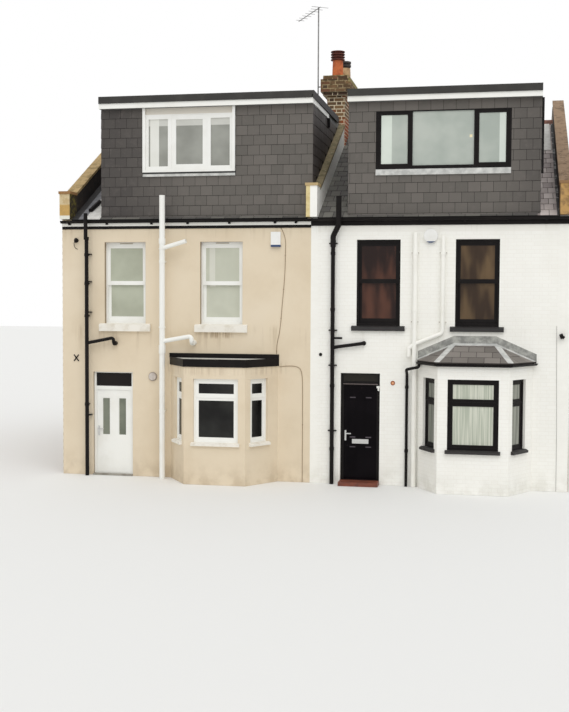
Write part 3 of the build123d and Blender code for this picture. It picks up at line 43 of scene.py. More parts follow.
# The camera stands in the garden, as high as the middle of the upper windows and a little
# to the right, and looks across the pair with a normal lens.
EYE = Vector((3.9435, -22.6, 3.7818))
YAW, PITCH, ROLL = math.radians(11.305), math.radians(2.8867), math.radians(-0.295)
LENS, FILM = 56.30, 36.0

forward = Vector((-math.sin(YAW) * math.cos(PITCH), math.cos(YAW) * math.cos(PITCH), -math.sin(PITCH)))
level = Vector((math.cos(YAW), math.sin(YAW), 0))
upright = level.cross(forward)
side = level * math.cos(ROLL) - upright * math.sin(ROLL)
top = level * math.sin(ROLL) + upright * math.cos(ROLL)
lens = bpy.data.cameras.new("garden_camera")
lens.lens = LENS
lens.sensor_width = FILM
lens.sensor_height = FILM
lens.sensor_fit = "AUTO"
camera = bpy.data.objects.new("garden_camera", lens)
bpy.context.scene.collection.objects.link(camera)
camera.matrix_world = Matrix.Translation(EYE) @ Matrix((side, top, -forward)).transposed().to_4x4()
bpy.context.scene.camera = camera
bpy.context.scene.view_settings.view_transform = "Standard"

# Overcast daylight from above and a broad soft sun from the garden side. The camera, the
# glass and the bright metal see the sky as white.
SKY_LEVEL, SUN_LEVEL = 0.78, 0.94
SUN_SPREAD = math.radians(50)
SUN_TURN = (math.radians(38), 0, math.radians(18))
world = bpy.data.worlds.new("overcast")
bpy.context.scene.world = world
world.use_nodes = True
nodes, links = world.node_tree.nodes, world.node_tree.links
nodes.clear()
path = nodes.new("ShaderNodeLightPath")
seen = nodes.new("ShaderNodeMath")
seen.operation = "MAXIMUM"
links.new(path.outputs["Is Camera Ray"], seen.inputs[0])
links.new(path.outputs["Is Transmission Ray"], seen.inputs[1])
seen_all = nodes.new("ShaderNodeMath")
seen_all.operation = "MAXIMUM"
links.new(seen.outputs[0], seen_all.inputs[0])
links.new(path.outputs["Is Glossy Ray"], seen_all.inputs[1])
strength = nodes.new("ShaderNodeMapRange")
strength.inputs["To Min"].default_value = SKY_LEVEL
strength.inputs["To Max"].default_value = 1.0
links.new(seen_all.outputs[0], strength.inputs["Value"])
sky = nodes.new("ShaderNodeBackground")
links.new(strength.outputs[0], sky.inputs["Strength"])
sky.inputs["Color"].default_value = (1, 1, 1, 1)
output = nodes.new("ShaderNodeOutputWorld")
links.new(sky.outputs[0], output.inputs["Surface"])
sun = bpy.data.lights.new("soft_sun", "SUN")
sun.energy = SUN_LEVEL
sun.angle = SUN_SPREAD
lamp = bpy.data.objects.new("soft_sun", sun)
bpy.context.scene.collection.objects.link(lamp)
lamp.rotation_euler = SUN_TURN

# The floor is one wide pale sheet, dull all over. It lies just under the houses and takes
# their shadow.
FLOOR_SIZE, FLOOR_DROP = 240, 0.002


def tint(red, green, blue):
    """A colour from its 0 to 255 screen values."""
    def linear(level):
        return ((level / 255 + 0.055) / 1.055) ** 2.4 if level > 10 else level / 255 / 12.92
    return linear(red), linear(green), linear(blue)


class Value:
    """A shader socket that takes part in sums as a number does."""

    def __init__(self, paint, socket):
        self.paint = paint
        self.socket = socket

    def work(self, operation, a, b):
        return self.paint.add("ShaderNodeMath", {"operation": operation}, {0: a, 1: b})

    def __add__(self, other):
        return self.work("ADD", self, other)

    def __radd__(self, other):
        return self.work("ADD", other, self)

    def __sub__(self, other):
        return self.work("SUBTRACT", self, other)

    def __rsub__(self, other):
        return self.work("SUBTRACT", other, self)

    def __mul__(self, other):
        return self.work("MULTIPLY", self, other)

    def __rmul__(self, other):
        return self.work("MULTIPLY", other, self)

    def __mod__(self, other):
        return self.work("FLOORED_MODULO", self, other)

    def __rmod__(self, other):
        return self.work("FLOORED_MODULO", other, self)


class Paint:
    """A procedural finish on a Principled shader, patterned in the object's own metres."""

    def __init__(self, name):
        self.material = bpy.data.materials.new(name)
        self.material.use_nodes = True
        self.tree = self.material.node_tree
        self.shader = self.tree.nodes["Principled BSDF"]
        self.place = self.add("ShaderNodeTexCoord", out="Object")
        self.x, self.y, self.z = (
            self.add("ShaderNodeSeparateXYZ", inputs={0: self.place}, out=axis) for axis in "XYZ"
        )

    def add(self, kind, settings=None, inputs=None, out=0):
        node = self.tree.nodes.new(kind)
        for key, value in (settings or {}).items():
            setattr(node, key, value)
        for key, value in (inputs or {}).items():
            self.feed(node.inputs[key], value)
        return Value(self, node.outputs[out])

    def feed(self, socket, value):
        if isinstance(value, Value):
            self.tree.links.new(value.socket, socket)
        elif socket.type == "RGBA":
            socket.default_value = (*value, 1)
        else:
            socket.default_value = value

    def noise(self, scale, detail=3, rough=0.55, stretch=(1, 1, 1)):
        spot = self.add("ShaderNodeMapping", inputs={"Vector": self.place, "Scale": stretch})
        return self.add(
            "ShaderNodeTexNoise", None,
            {"Vector": spot, "Scale": scale, "Detail": detail, "Roughness": rough}, "Fac",
        )

    def ease(self, value, low, high, start=0.0, end=1.0):
        return self.add(
            "ShaderNodeMapRange", {"interpolation_type": "SMOOTHSTEP"},
            {"Value": value, "From Min": low, "From Max": high, "To Min": start, "To Max": end},
        )

    def patches(self, low, high, *grain):
        """Noise of some grain turned into patches: 0 where it is below low, 1 above high."""
        return self.ease(self.noise(*grain), low, high)

    def zone(self, low, high, soft=0.004):
        """1 inside a box of the object's space, with soft edges; None leaves a side open."""
        mask = 1.0
        for value, a, b in zip((self.x, self.y, self.z), low, high):
            if a is not None:
                mask = self.ease(value, a - soft, a) * mask
            if b is not None:
                mask = self.ease(value, b, b + soft, 1.0, 0.0) * mask
        return mask

    def mix(self, mask, a, b):
        """Colour a where the mask is 0, and b where it is 1."""
        return self.add("ShaderNodeMix", {"data_type": "RGBA"}, {0: mask, 6: a, 7: b}, 2)

    def tone(self):
        """The number from 0 to 1 that each laid brick or slate carries."""
        return self.add("ShaderNodeAttribute", {"attribute_name": "tone"}, out="Fac")

    def finish(self, color, rough, height=None, strength=0.4, distance=0.002, gloss=0.5, metallic=0.0):
        self.feed(self.shader.inputs["Base Color"], color)
        self.feed(self.shader.inputs["Roughness"], rough)
        self.feed(self.shader.inputs["Specular IOR Level"], gloss)
        self.feed(self.shader.inputs["Metallic"], metallic)
        if height is not None:
            bump = self.add(
                "ShaderNodeBump", None,
                {"Strength": strength, "Distance": distance, "Height": height}, "Normal",
            )
            self.feed(self.shader.inputs["Normal"], bump)
        return self.material


bpy.ops.mesh.primitive_plane_add(size=FLOOR_SIZE, location=(0, 0, -FLOOR_DROP))
floor = bpy.context.object
floor.name = "floor"
pale_floor = Paint("pale_floor")
floor.data.materials.append(pale_floor.finish(tint(236, 236, 234), 0.8))
floor.select_set(False)

# The left house is finished in smooth sand and cement, floated flat and painted a warm
# cream that has washed thin in patches and stained below the sills and the eaves.
CREAM = tint(226, 211, 186)
CREAM_WORN = tint(215, 198, 171)
CREAM_PALE = tint(231, 218, 196)
CREAM_STAIN = tint(168, 146, 116)


def clad(material, *names):
    """Gives CAD nodes their finish."""
    for name in names:
        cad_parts[name].material_slots[0].material = material


def render_coat(paint):
    """The cream coat's colour, with washed patches, runs below the sills, damp at the foot and painted
    shade inside the reveals.
    """
    patches = paint.patches(0.4, 0.7, 0.8, 5, 0.6)
    washed = paint.patches(0.5, 0.75, 0.6, 3, 0.5)
    runs = paint.patches(0.5, 0.75, 1.0, 4, 0.6, (7, 7, 0.5))
    below_sills = paint.ease(paint.z, 2.5, 3.1) * paint.ease(paint.z, 3.12, 3.3, 1, 0)
    below_eaves = paint.ease(paint.z, 4.9, 5.34)
    foot = paint.ease(paint.z, 0.0, 0.6, 1, 0) * paint.patches(0.35, 0.65, 3, 4)
    drips = paint.patches(0.42, 0.62, 1.0, 4, 0.6, (16, 16, 0.8))
    from_sill = paint.zone((-2.24, None, 3.02), (-1.66, None, 3.13), 0.08) * 0.7
    from_bay = paint.zone((-3.10, None, 2.30), (-0.60, -0.01, 2.44), 0.10) * 0.22
    color = paint.mix(patches * 0.7, CREAM, CREAM_WORN)
    color = paint.mix(washed * 0.6, color, CREAM_PALE)
    color = paint.mix(runs * (below_sills * 0.45 + below_eaves * 0.4), color, CREAM_STAIN)
    color = paint.mix(drips * (from_sill + from_bay), color, tint(150, 124, 92))
    # Painted shade: the coat darkens back from the wall's face, inside the window and door reveals.
    color = paint.mix(paint.ease(paint.y, 0.004, 0.03) * 0.75, color, tint(128, 106, 80))
    return paint.mix(foot * 0.4, color, CREAM_STAIN)


coat = Paint("cream_render")
wave = coat.noise(2.2, 2) * 0.7 + coat.noise(150, 3) * 0.3
cream_render = coat.finish(render_coat(coat), 0.86, wave, 0.3, 0.003)
clad(cream_render, "left_garden_piers", "left_garden_wall", "left_bay_walls")

# The right house is one-brick walling under many coats of white masonry paint, which has
# nearly filled its joints. The paint has greyed a little below the sills.
WHITE = tint(246, 245, 239)
WHITE_WORN = tint(236, 234, 226)
BRICK = (0.215, 0.065)      # face length and height
HEADER = 0.1025
JOINT = 0.010
BRICK_OUT = 0.0022
LEAST_OUT = 0.7             # a unit stands out by this share of its step, or more
ARRIS, ROOT = 0.6, -0.3     # heights in a unit whose face is at 1
SHORTEST, THINNEST, NARROWEST = 0.008, 0.012, 0.01
PAINT_LINE = -0.030
RIGHT_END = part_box("party_wall_right")[1].x
UP = (0, 0, 1)


def block(name, front_inset, tail=1.0, head=1.0):
    """One walling unit, a metre each way, with its front arrises taken off."""
    bpy.ops.mesh.primitive_cube_add(size=1, location=(0.5, 0.5, 0.5))
    unit = bpy.context.object
    unit.name = name
    bpy.ops.object.transform_apply(location=True)
    bpy.ops.object.mode_set(mode="EDIT")
    shape = bmesh.from_edit_mesh(unit.data)
    bpy.ops.mesh.select_all(action="DESELECT")
    if front_inset:
        for face in shape.faces:
            face.select = face.normal.z > 0.9
        bmesh.update_edit_mesh(unit.data)
        bpy.ops.mesh.inset(thickness=front_inset, depth=0)
        for vert in shape.verts:
            at_edge = min(vert.co.x, vert.co.y) < 1e-5 or max(vert.co.x, vert.co.y) > 1 - 1e-5
            if vert.co.z > 0.9 and at_edge:
                vert.co.z = ARRIS
    for vert in shape.verts:
        if vert.co.z > 0.5:
            vert.co.z *= tail + (head - tail) * vert.co.y
        else:
            vert.co.z = ROOT
    bmesh.update_edit_mesh(unit.data)
    bpy.ops.object.mode_set(mode="OBJECT")
    unit.select_set(False)
    return unit


def courses(spans, foot, top, gauge, lengths, joint, stagger, high=None, clip=-math.inf):
    """Units of a bond as (left, right, low, high), cut to the spans of each course."""
    repeat = sum(lengths) + joint * len(lengths)
    number = 0
    while foot + number * gauge < top - NARROWEST:
        low = max(foot + number * gauge, clip)
        upper = min(foot + number * gauge + (high or gauge), top)
        start = (number % 2) * stagger
        number += 1
        if upper - low < THINNEST:
            continue
        for left, right in spans((low + upper) / 2):
            at = start + math.floor((left - start) / repeat) * repeat
            while at < right:
                for length in lengths:
                    a, b = max(at, left), min(at + length, right)
                    at += length + joint
                    if b - a > SHORTEST:
                        yield a, b, low, upper


def minus(left, right, holes):
    """What is left of a span between holes given as (left, right)."""
    spans = [(left, right)]
    for a, b in holes:
        sides = [part for lo, hi in spans for part in ((lo, min(hi, a)), (max(lo, b), hi))]
        spans = [(lo, hi) for lo, hi in sides if hi - lo > NARROWEST]
    return spans


def plane(origin, along, up):
    """A place whose axes run along a wall, up it and out of it."""
    along, up = Vector(along).normalized(), Vector(up).normalized()
    turn = Matrix((along, up, along.cross(up))).transposed().to_4x4()
    return Matrix.Translation(origin) @ turn


def lay(name, unit, work, out, material, body="houses", seed=1):
    """One mesh of many copies of a unit, each with a tone of its own, cut to its slope's sides."""
    chance = random.Random(seed)
    shape = [vert.co.copy() for vert in unit.data.vertices]
    faces = [tuple(face.vertices) for face in unit.data.polygons]
    verts, all_faces, tones = [], [], []
    for place, units, *trim in work:
        for a, b, low, high in units:
            base = len(verts)
            lift = out * chance.uniform(LEAST_OUT, 1.0)
            tones += [chance.random()] * len(shape)
            for co in shape:
                spot = Vector((a + (b - a) * co.x, low + (high - low) * co.y, lift * co.z))
                for sides in trim:
                    left, right = sides(spot.y)
                    spot.x = min(max(spot.x, left), right)
                verts.append(place @ spot)
            all_faces += [tuple(base + k for k in face) for face in faces]
    mesh = bpy.data.meshes.new(name)
    mesh.from_pydata(verts, [], all_faces)
    tone = mesh.attributes.new("tone", "FLOAT", "POINT")
    tone.data.foreach_set("value", tones)
    mesh.materials.append(material)
    piece = bpy.data.objects.new(name, mesh)
    bpy.context.scene.collection.objects.link(piece)
    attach(piece, body)
    return piece


def brick_courses(spans, foot, top, high=BRICK[1], joint=JOINT):
    """Flemish bond: headers and stretchers in turn, each course half a repeat along."""
    lengths = (BRICK[0], HEADER)
    return courses(spans, foot, top, high + joint, lengths, joint, (sum(lengths) + 2 * joint) / 2, high)


def holes_of(*boxes):
    """Spans along X that stay clear of boxes given as (left, right, low, high)."""
    def spans_at(left, right):
        return lambda z: minus(left, right, [(a, b) for a, b, low, high in boxes if low < z < high])
    return spans_at


def painted(paint, face):
    """White masonry paint: worn patches, grey runs under the sills and a green foot."""
    patches = paint.patches(0.45, 0.75, 1.1, 5, 0.62)
    runs = paint.patches(0.55, 0.78, 1.0, 4, 0.6, (8, 8, 0.5))
    below_sills = paint.ease(paint.z, 2.6, 3.1) * paint.ease(paint.z, 3.14, 3.3, 1, 0)
    foot = paint.ease(paint.z, 0.0, 0.5, 1, 0) * paint.patches(0.35, 0.65, 4, 4)
    below_eaves = paint.ease(paint.z, 5.0, 5.3)
    color = paint.mix(patches * 0.5, face, WHITE_WORN)
    color = paint.mix(runs * (below_sills * 0.4 + below_eaves * 0.3), color, tint(188, 182, 166))
    return paint.mix(foot * 0.25, color, tint(168, 164, 146))


brick_unit = block("brick_unit", front_inset=0.03)
brick_paint = Paint("white_painted_brick")
color = brick_paint.mix(brick_paint.tone() * 0.2, painted(brick_paint, WHITE), WHITE_WORN)
white_brick = brick_paint.finish(color, 0.72, brick_paint.noise(60, 4), 0.3, 0.002)
joint_paint = Paint("white_painted_joint")
color = painted(joint_paint, tint(241, 239, 232))
white_joint = joint_paint.finish(color, 0.8, joint_paint.noise(90, 3), 0.3, 0.002)
clad(white_joint, "right_garden_piers", "right_garden_wall", "right_bay_walls")
SASH_FOOT, SASH_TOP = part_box("right_sash_windows")[0].z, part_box("right_sash_windows")[1].z
RIGHT_SASHES = ((1.362, 0.890), (3.345, 0.868))
DOOR_HOLE = (0.603, 1.412, 0.0, 2.290)
BAY_X, BAY_HALF, BAY_FRONT, BAY_OUT = 3.313, 1.141, 0.688, 0.780
BAY_LIGHTS = ((0.500, 0.075), (0.985, 0.0), (0.500, -0.075))    # width and shift along each side
LIGHT_FOOT, LIGHT_HEAD = 0.80, 2.25
WALL_BRICKS_TOP, BAY_BRICKS_TOP, BAY_MEETS_WALL = 5.18, 2.47, 2.56
SILL_DEPTH, CORNER_GAP = 0.04, 0.002
garden_holes = [(c - w / 2, c + w / 2, SASH_FOOT - SILL_DEPTH, SASH_TOP) for c, w in RIGHT_SASHES]
garden_holes += [DOOR_HOLE, (BAY_X - BAY_HALF, BAY_X + BAY_HALF, 0.0, BAY_MEETS_WALL)]
garden_spans = holes_of(*garden_holes)(PAINT_LINE, RIGHT_END)
work = [(plane((0, 0, 0), (1, 0, 0), UP), brick_courses(garden_spans, 0.0, WALL_BRICKS_TOP))]
corners = [
    (BAY_X - BAY_HALF, 0), (BAY_X - BAY_FRONT, -BAY_OUT),
    (BAY_X + BAY_FRONT, -BAY_OUT), (BAY_X + BAY_HALF, 0),
]
for (ax, ay), (bx, by), (wide, along) in zip(corners, corners[1:], BAY_LIGHTS):
    length = math.hypot(bx - ax, by - ay)
    middle = length / 2 + along
    light = (middle - wide / 2, middle + wide / 2, LIGHT_FOOT, LIGHT_HEAD)
    spans = holes_of(light)(CORNER_GAP, length - CORNER_GAP)
    face = plane((ax, ay, 0), (bx - ax, by - ay, 0), UP)
    work.append((face, brick_courses(spans, 0.0, BAY_BRICKS_TOP)))
lay("white_bricks", brick_unit, work, BRICK_OUT, white_brick, seed=3)

# The party walls at both ends, the street front and the chimney are bare stock brick, laid in
# Flemish bond with pale lime joints. The walls' garden ends are painted with the houses.
STOCK = tint(176, 148, 108)
STOCK_DARK = tint(150, 122, 90)
STOCK_RED = tint(162, 120, 88)
MORTAR = tint(186, 176, 156)
STOCK_OUT = 0.004
LEFT_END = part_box("party_wall_left")[0].x
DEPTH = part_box("street_walls")[1].y
ROOF_PITCH = math.radians(28)
PITCH_RISE = math.tan(ROOF_PITCH)
FALL = math.cos(ROOF_PITCH)
WALL_HEAD, ROOF_THICK = 5.34, 0.130
EAVES = WALL_HEAD + ROOF_THICK / FALL
RIDGE_Y = DEPTH / 2
RIDGE_TOP = EAVES + RIDGE_Y * PITCH_RISE
LEFT_RISE, RIGHT_RISE, STREET_RISE = 0.400, 0.450, 0.300    # parapets above the slopes
KNEELER_BACK, KNEELER_BED, COPING_BED = 0.230, 0.012, 0.06
SHORTEST_COURSE = 0.1
LEFT_HOUSE, RIGHT_HOUSE = (-5.22, -0.115), (0.115, 4.925)   # between the party walls
STREET_LIGHT_HALF, STREET_LIGHT_HIGH = 0.5, 1.7
UPPER_FOOT, GROUND_FOOT = 3.3, 0.7
STREET_DOORS = ((0.515, 1.415, 0, 2.1), (-1.415, -0.515, 0, 2.1))
STREET_BRICKS_TOP = 5.3


def stock_color(paint, tone):
    """Yellow stocks with darker and redder ones among them, under thin soot."""
    color = paint.mix(paint.ease(tone, 0.1, 0.75), STOCK, STOCK_DARK)
    color = paint.mix(paint.ease(tone, 0.86, 0.9), color, STOCK_RED)
    return paint.mix(paint.patches(0.5, 0.75, 1.4, 4) * 0.35, color, tint(96, 80, 66))


stock = Paint("stock_brick")
stock_brick = stock.finish(stock_color(stock, stock.tone()), 0.88, stock.noise(70, 4), 0.5, 0.004)
mortar = Paint("lime_mortar")
color = mortar.mix(mortar.patches(0.4, 0.7, 6, 4) * 0.5, MORTAR, tint(140, 130, 110))
# Above the slates the parapets' inner sides are near black with yellow-green moss in patches, and the
# middle one is painted white.
above_slates = mortar.ease(mortar.z - mortar.y * PITCH_RISE, EAVES + 0.002, EAVES + 0.006)
garden_half = mortar.zone((None, None, None), (None, RIDGE_Y, None))
near_black_parapet_side = mortar.mix(mortar.patches(0.4, 0.6, 5, 5, 0.65), tint(50, 40, 34), tint(34, 28, 27))
near_black_side_with_moss = mortar.mix(mortar.patches(0.66, 0.76, 16, 4), near_black_parapet_side, tint(92, 88, 50))
inner = mortar.mix(mortar.zone((-0.2, None, None), (0.3, None, None)), near_black_side_with_moss, painted(mortar, WHITE))
color = mortar.mix(above_slates * garden_half, color, inner)
ends = mortar.ease(mortar.y, 0.004, 0.006, 1, 0)
left_end = mortar.ease(mortar.x, PAINT_LINE - 0.001, PAINT_LINE + 0.001, 1, 0)
color = mortar.mix(ends, color, mortar.mix(left_end, painted(mortar, WHITE), render_coat(mortar)))
lime_mortar = mortar.finish(color, 0.9, mortar.noise(110, 3), 0.3, 0.002)
clad(lime_mortar, "party_wall_left", "party_wall_middle", "party_wall_right", "street_walls")


def gable(rise, flip):
    """A party wall's span in depth at a height, parapets and all."""
    def at(z):
        over = z - EAVES
        start = max(0.0 if over < -KNEELER_BED else KNEELER_BACK, (over - rise) / PITCH_RISE)
        end = min(DEPTH, DEPTH - (over - STREET_RISE) / PITCH_RISE)
        if over > RIDGE_Y * PITCH_RISE + STREET_RISE:
            end = RIDGE_Y
        if end - start < SHORTEST_COURSE:
            return []
        return [(-end, -start)] if flip else [(start, end)]
    return at


for name, x, along, rise, flip, seed in (
    ("left_flank_bricks", LEFT_END, (0, -1, 0), LEFT_RISE, True, 5),
    ("right_flank_bricks", RIGHT_END, (0, 1, 0), RIGHT_RISE, False, 7),
):
    laid = brick_courses(gable(rise, flip), 0.0, RIDGE_TOP + rise - COPING_BED)
    work = [(plane((x, 0, 0), along, UP), laid)]
    lay(name, brick_unit, work, STOCK_OUT, stock_brick, seed=seed)
street_holes = list(STREET_DOORS)
for (x0, x1), ground_share in ((LEFT_HOUSE, 0.25), (RIGHT_HOUSE, 0.75)):
    for share, foot in ((0.25, UPPER_FOOT), (0.75, UPPER_FOOT), (ground_share, GROUND_FOOT)):
        left = -(x0 + (x1 - x0) * share) - STREET_LIGHT_HALF
        right = left + 2 * STREET_LIGHT_HALF
        street_holes.append((left, right, foot - SILL_DEPTH, foot + STREET_LIGHT_HIGH))
laid = brick_courses(holes_of(*street_holes)(-RIGHT_END, -LEFT_END), 0.0, STREET_BRICKS_TOP)
work = [(plane((0, DEPTH, 0), (-1, 0, 0), UP), laid)]
lay("street_bricks", brick_unit, work, STOCK_OUT, stock_brick, seed=9)

# The chimney stack is of the same stocks, laid with wide joints and corbelled out in three
# steps. Its bricks are darker than the walls', red at the foot and sooted at the head.
STACK = (-0.300, 0.130, RIDGE_Y - 1.150, RIDGE_Y + 0.280)
STACK_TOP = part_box("chimney_stack")[0].z + 1.750
BANDS = ((0.0, -1.71, -0.465), (0.085, -0.465, -0.39), (0.135, -0.39, -0.09), (0.085, -0.09, 0.0))
CHIMNEY_BRICK_HIGH, CHIMNEY_JOINT, CHIMNEY_BED, CHIMNEY_END = 0.066, 0.020, 0.004, 0.003
work = []
for out, foot, head in BANDS:
    x0, x1, y0, y1 = STACK[0] - out, STACK[1] + out, STACK[2] - out, STACK[3] + out
    corners = ((x0, y0), (x1, y0), (x1, y1), (x0, y1))
    for (ax, ay), (bx, by) in zip(corners, corners[1:] + corners[:1]):
        face = plane((ax, ay, STACK_TOP), (bx - ax, by - ay, 0), UP)
        spans = holes_of()(CHIMNEY_END, math.dist((ax, ay), (bx, by)) - CHIMNEY_END)
        laid = brick_courses(spans, foot + CHIMNEY_BED, head, CHIMNEY_BRICK_HIGH, CHIMNEY_JOINT)
        work.append((face, laid))
flue = Paint("sooty_stock_brick")
tone = flue.tone()
color = flue.mix(flue.ease(tone, 0.1, 0.8), tint(132, 102, 70), tint(76, 57, 44))
color = flue.mix(flue.ease(tone, 0.84, 0.88), color, tint(136, 88, 62))
red_foot = flue.ease(flue.z, STACK_TOP - 1.1, STACK_TOP - 0.9, 1, 0) * flue.ease(flue.x, -0.05, 0.1)
color = flue.mix(red_foot * 0.8, color, tint(176, 84, 50))
soot = flue.ease(flue.z, STACK_TOP - 0.5, STACK_TOP) * flue.patches(0.3, 0.6, 6, 4)
color = flue.mix(soot * 0.8, color, tint(84, 66, 42))
lichen = flue.zone((STACK[1] + 0.100, None, STACK_TOP - 0.16), (None, None, None), 0.02)
color = flue.mix(lichen * 0.8, color, tint(150, 142, 84))
flue_brick = flue.finish(color, 0.9, flue.noise(70, 4), 0.6, 0.004)
lay("chimney_bricks", brick_unit, work, STOCK_OUT, flue_brick, seed=15)

# The stack's joints are pale lime mortar, dirtier near the head. On top, sloped mortar
# flaunching beds the pots, green with lichen.
bed = Paint("flaunching")
color = bed.mix(bed.patches(0.4, 0.62, 14, 5, 0.65), tint(120, 112, 60), tint(164, 160, 84))
joints = bed.mix(bed.patches(0.4, 0.7, 20, 4), tint(234, 222, 192), tint(204, 186, 154))
sooted = bed.mix(bed.patches(0.4, 0.6, 16, 4), tint(176, 156, 118), tint(100, 82, 54))
joints = bed.mix(bed.ease(bed.z, STACK_TOP - 0.44, STACK_TOP - 0.36), joints, sooted)
color = bed.mix(bed.ease(bed.z, STACK_TOP - 0.006, STACK_TOP - 0.002), joints, color)
clad(bed.finish(color, 0.92, bed.noise(40, 5), 0.6, 0.006), "chimney_stack")

# The two chimney pots are thrown and fired clay, bedded in the flaunching. The front one is
# orange with a louvred top, and the rear one is buff under a dark cowl.
clay = Paint("fired_clay")
blotch = clay.patches(0.4, 0.7, 9, 4)
pot = clay.mix(blotch, tint(206, 112, 62), tint(168, 84, 50))
hood = clay.mix(blotch, tint(104, 52, 40), tint(72, 40, 34))
buff = clay.mix(blotch, tint(204, 170, 128), tint(160, 126, 92))
cowl = clay.mix(blotch, tint(52, 46, 44), tint(78, 70, 62))
front_pot = clay.mix(clay.ease(clay.z, STACK_TOP + 0.396, STACK_TOP + 0.402), pot, hood)
rear_pot = clay.mix(clay.ease(clay.z, STACK_TOP + 0.400, STACK_TOP + 0.406), buff, cowl)
color = clay.mix(clay.ease(clay.y, STACK[2] + 0.6, STACK[2] + 0.7), front_pot, rear_pot)
clad(clay.finish(color, 0.8, clay.noise(50, 4), 0.4, 0.004), "chimney_pots")

# Half-round ridge tiles of dull red clay, pressed and fired. They are bedded in mortar, which
# shows at every joint.
RIDGE_TILE, RIDGE_JOINT = 0.45, 0.010
ridge = Paint("ridge_clay")
color = ridge.mix(ridge.patches(0.4, 0.7, 7, 4), tint(138, 92, 76), tint(104, 68, 56))
bedding = ridge.ease(ridge.x % RIDGE_TILE, 0.0, RIDGE_JOINT, 1, 0)
color = ridge.mix(bedding * 0.8, color, tint(150, 140, 122))
clad(ridge.finish(color, 0.8, ridge.noise(40, 4), 0.4, 0.004), "ridge_tiles")

# The right doorstep is a slab faced with brown-red quarry tile, pressed and fired, with a
# slight polish from use.
tile = Paint("quarry_tile")
color = tile.mix(tile.patches(0.4, 0.7, 8, 4), tint(124, 66, 46), tint(98, 54, 42))
clad(tile.finish(color, 0.6, tile.noise(40, 3), 0.3, 0.002), "right_step")

# The dormer faces are hung with natural slate in broken bond, each slate nailed at its head
# with its tail riding on the course below.
HUNG_GAUGE, HUNG_W, HUNG_TAIL = 0.205, 0.245, 5.545
SLATE_JOINT, SLATE_OUT = 0.006, 0.009
SHORTEST_CHEEK = 0.05
MIDDLE_RISE = 0.512         # the middle parapet with its coping hides the cheek's foot
FACE_Y = 0.05
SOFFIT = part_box("dormer_fascias")[0].z
left_front, right_front = (-4.582, -0.018), (0.722, 4.550)
left_light = (-3.6525, -1.6475, 6.40, SOFFIT)
right_light = (1.281, 3.971, 6.43, SOFFIT - 0.195)
slate_unit = block("slate_unit", 0, tail=1.0, head=0.15)
slate = Paint("hung_slate")
tone = slate.tone()
ends = slate.mix(tone, tint(70, 66, 64), tint(78, 74, 71))
middle = slate.mix(tone, tint(96, 92, 87), tint(107, 102, 97))
color = slate.mix(slate.ease(slate.x, -4.4, -2.4), ends, middle)
color = slate.mix(slate.ease(slate.x, 3.6, 4.5) * 0.5, color, ends)
cheeks = slate.zone((-0.05, 0.07, None), (0.0, None, None), 0.003)
color = slate.mix(cheeks, color, slate.mix(tone, tint(62, 56, 55), tint(74, 68, 66)))
color = slate.mix(slate.patches(0.5, 0.8, 7, 5, 0.6) * 0.3, color, tint(116, 108, 104))
riven = slate.noise(14, 5, 0.6, (1, 1, 0.5)) * 0.8 + slate.noise(120, 2) * 0.2
hung_slate = slate.finish(color, slate.ease(tone, 0, 1, 0.5, 0.62), riven, 0.4, 0.003, gloss=0.25)


def hung_courses(spans):
    return courses(spans, HUNG_TAIL - HUNG_GAUGE, SOFFIT, HUNG_GAUGE, (HUNG_W,), SLATE_JOINT, HUNG_W / 2,
                   HUNG_GAUGE - SLATE_JOINT, EAVES + FACE_Y * PITCH_RISE)


def cheek_span(flip, lift=0.0):
    """A dormer cheek's span at a height, from its face back to the slates."""
    def at(z):
        end = (z - EAVES - lift) / PITCH_RISE
        if end - FACE_Y < SHORTEST_CHEEK:
            return []
        return [(-end, -FACE_Y)] if flip else [(FACE_Y, end)]
    return at


face_plane = plane((0, FACE_Y, 0), (1, 0, 0), UP)
work = [
    (face_plane, hung_courses(holes_of(left_light)(*left_front))),
    (face_plane, hung_courses(holes_of(right_light)(*right_front))),
]
for x, flip, lift in (
    (left_front[0], True, 0), (left_front[1], False, MIDDLE_RISE),
    (right_front[0], True, 0), (right_front[1], False, 0),
):
    along = (0, -1, 0) if flip else (0, 1, 0)
    work.append((plane((x, 0, 0), along, UP), hung_courses(cheek_span(flip, lift))))
lay("hung_slates", slate_unit, work, SLATE_OUT, hung_slate, seed=11)

# Behind the slates lie boarding and felt, nailed to the timbers. They are coloured near black as a painted
# shadow in the joints between the slates, and paler on the right bay.
backing = Paint("slate_joint_shadow")
bay_side = backing.zone((2.0, -0.9, None), (4.7, -0.001, 3.0))
color = backing.mix(bay_side, tint(24, 22, 22), tint(66, 61, 59))
slate_joint_shadow = backing.finish(color, 0.9, backing.noise(40, 3), 0.3, 0.002, gloss=0.1)
clad(slate_joint_shadow, "dormer_fronts", "dormer_cheeks", "left_garden_roof", "right_garden_roof",
     "street_roofs", "right_bay_roof")

# The roof slopes carry larger slates, nailed to battens in the same broken bond. On the garden
# side only narrow strips of them are left beside and below the dormers.
ROOF_GAUGE, ROOF_W = 0.280, 0.300
NARROW_W, NARROWER_W = 0.20, 0.18
OVERSAIL = 0.04
SHEET_SIDE, SHEET_END = -4.905, 1.35
pitched = Paint("roof_slate")
tone = pitched.tone()
color = pitched.mix(tone, tint(84, 82, 80), tint(116, 114, 108))
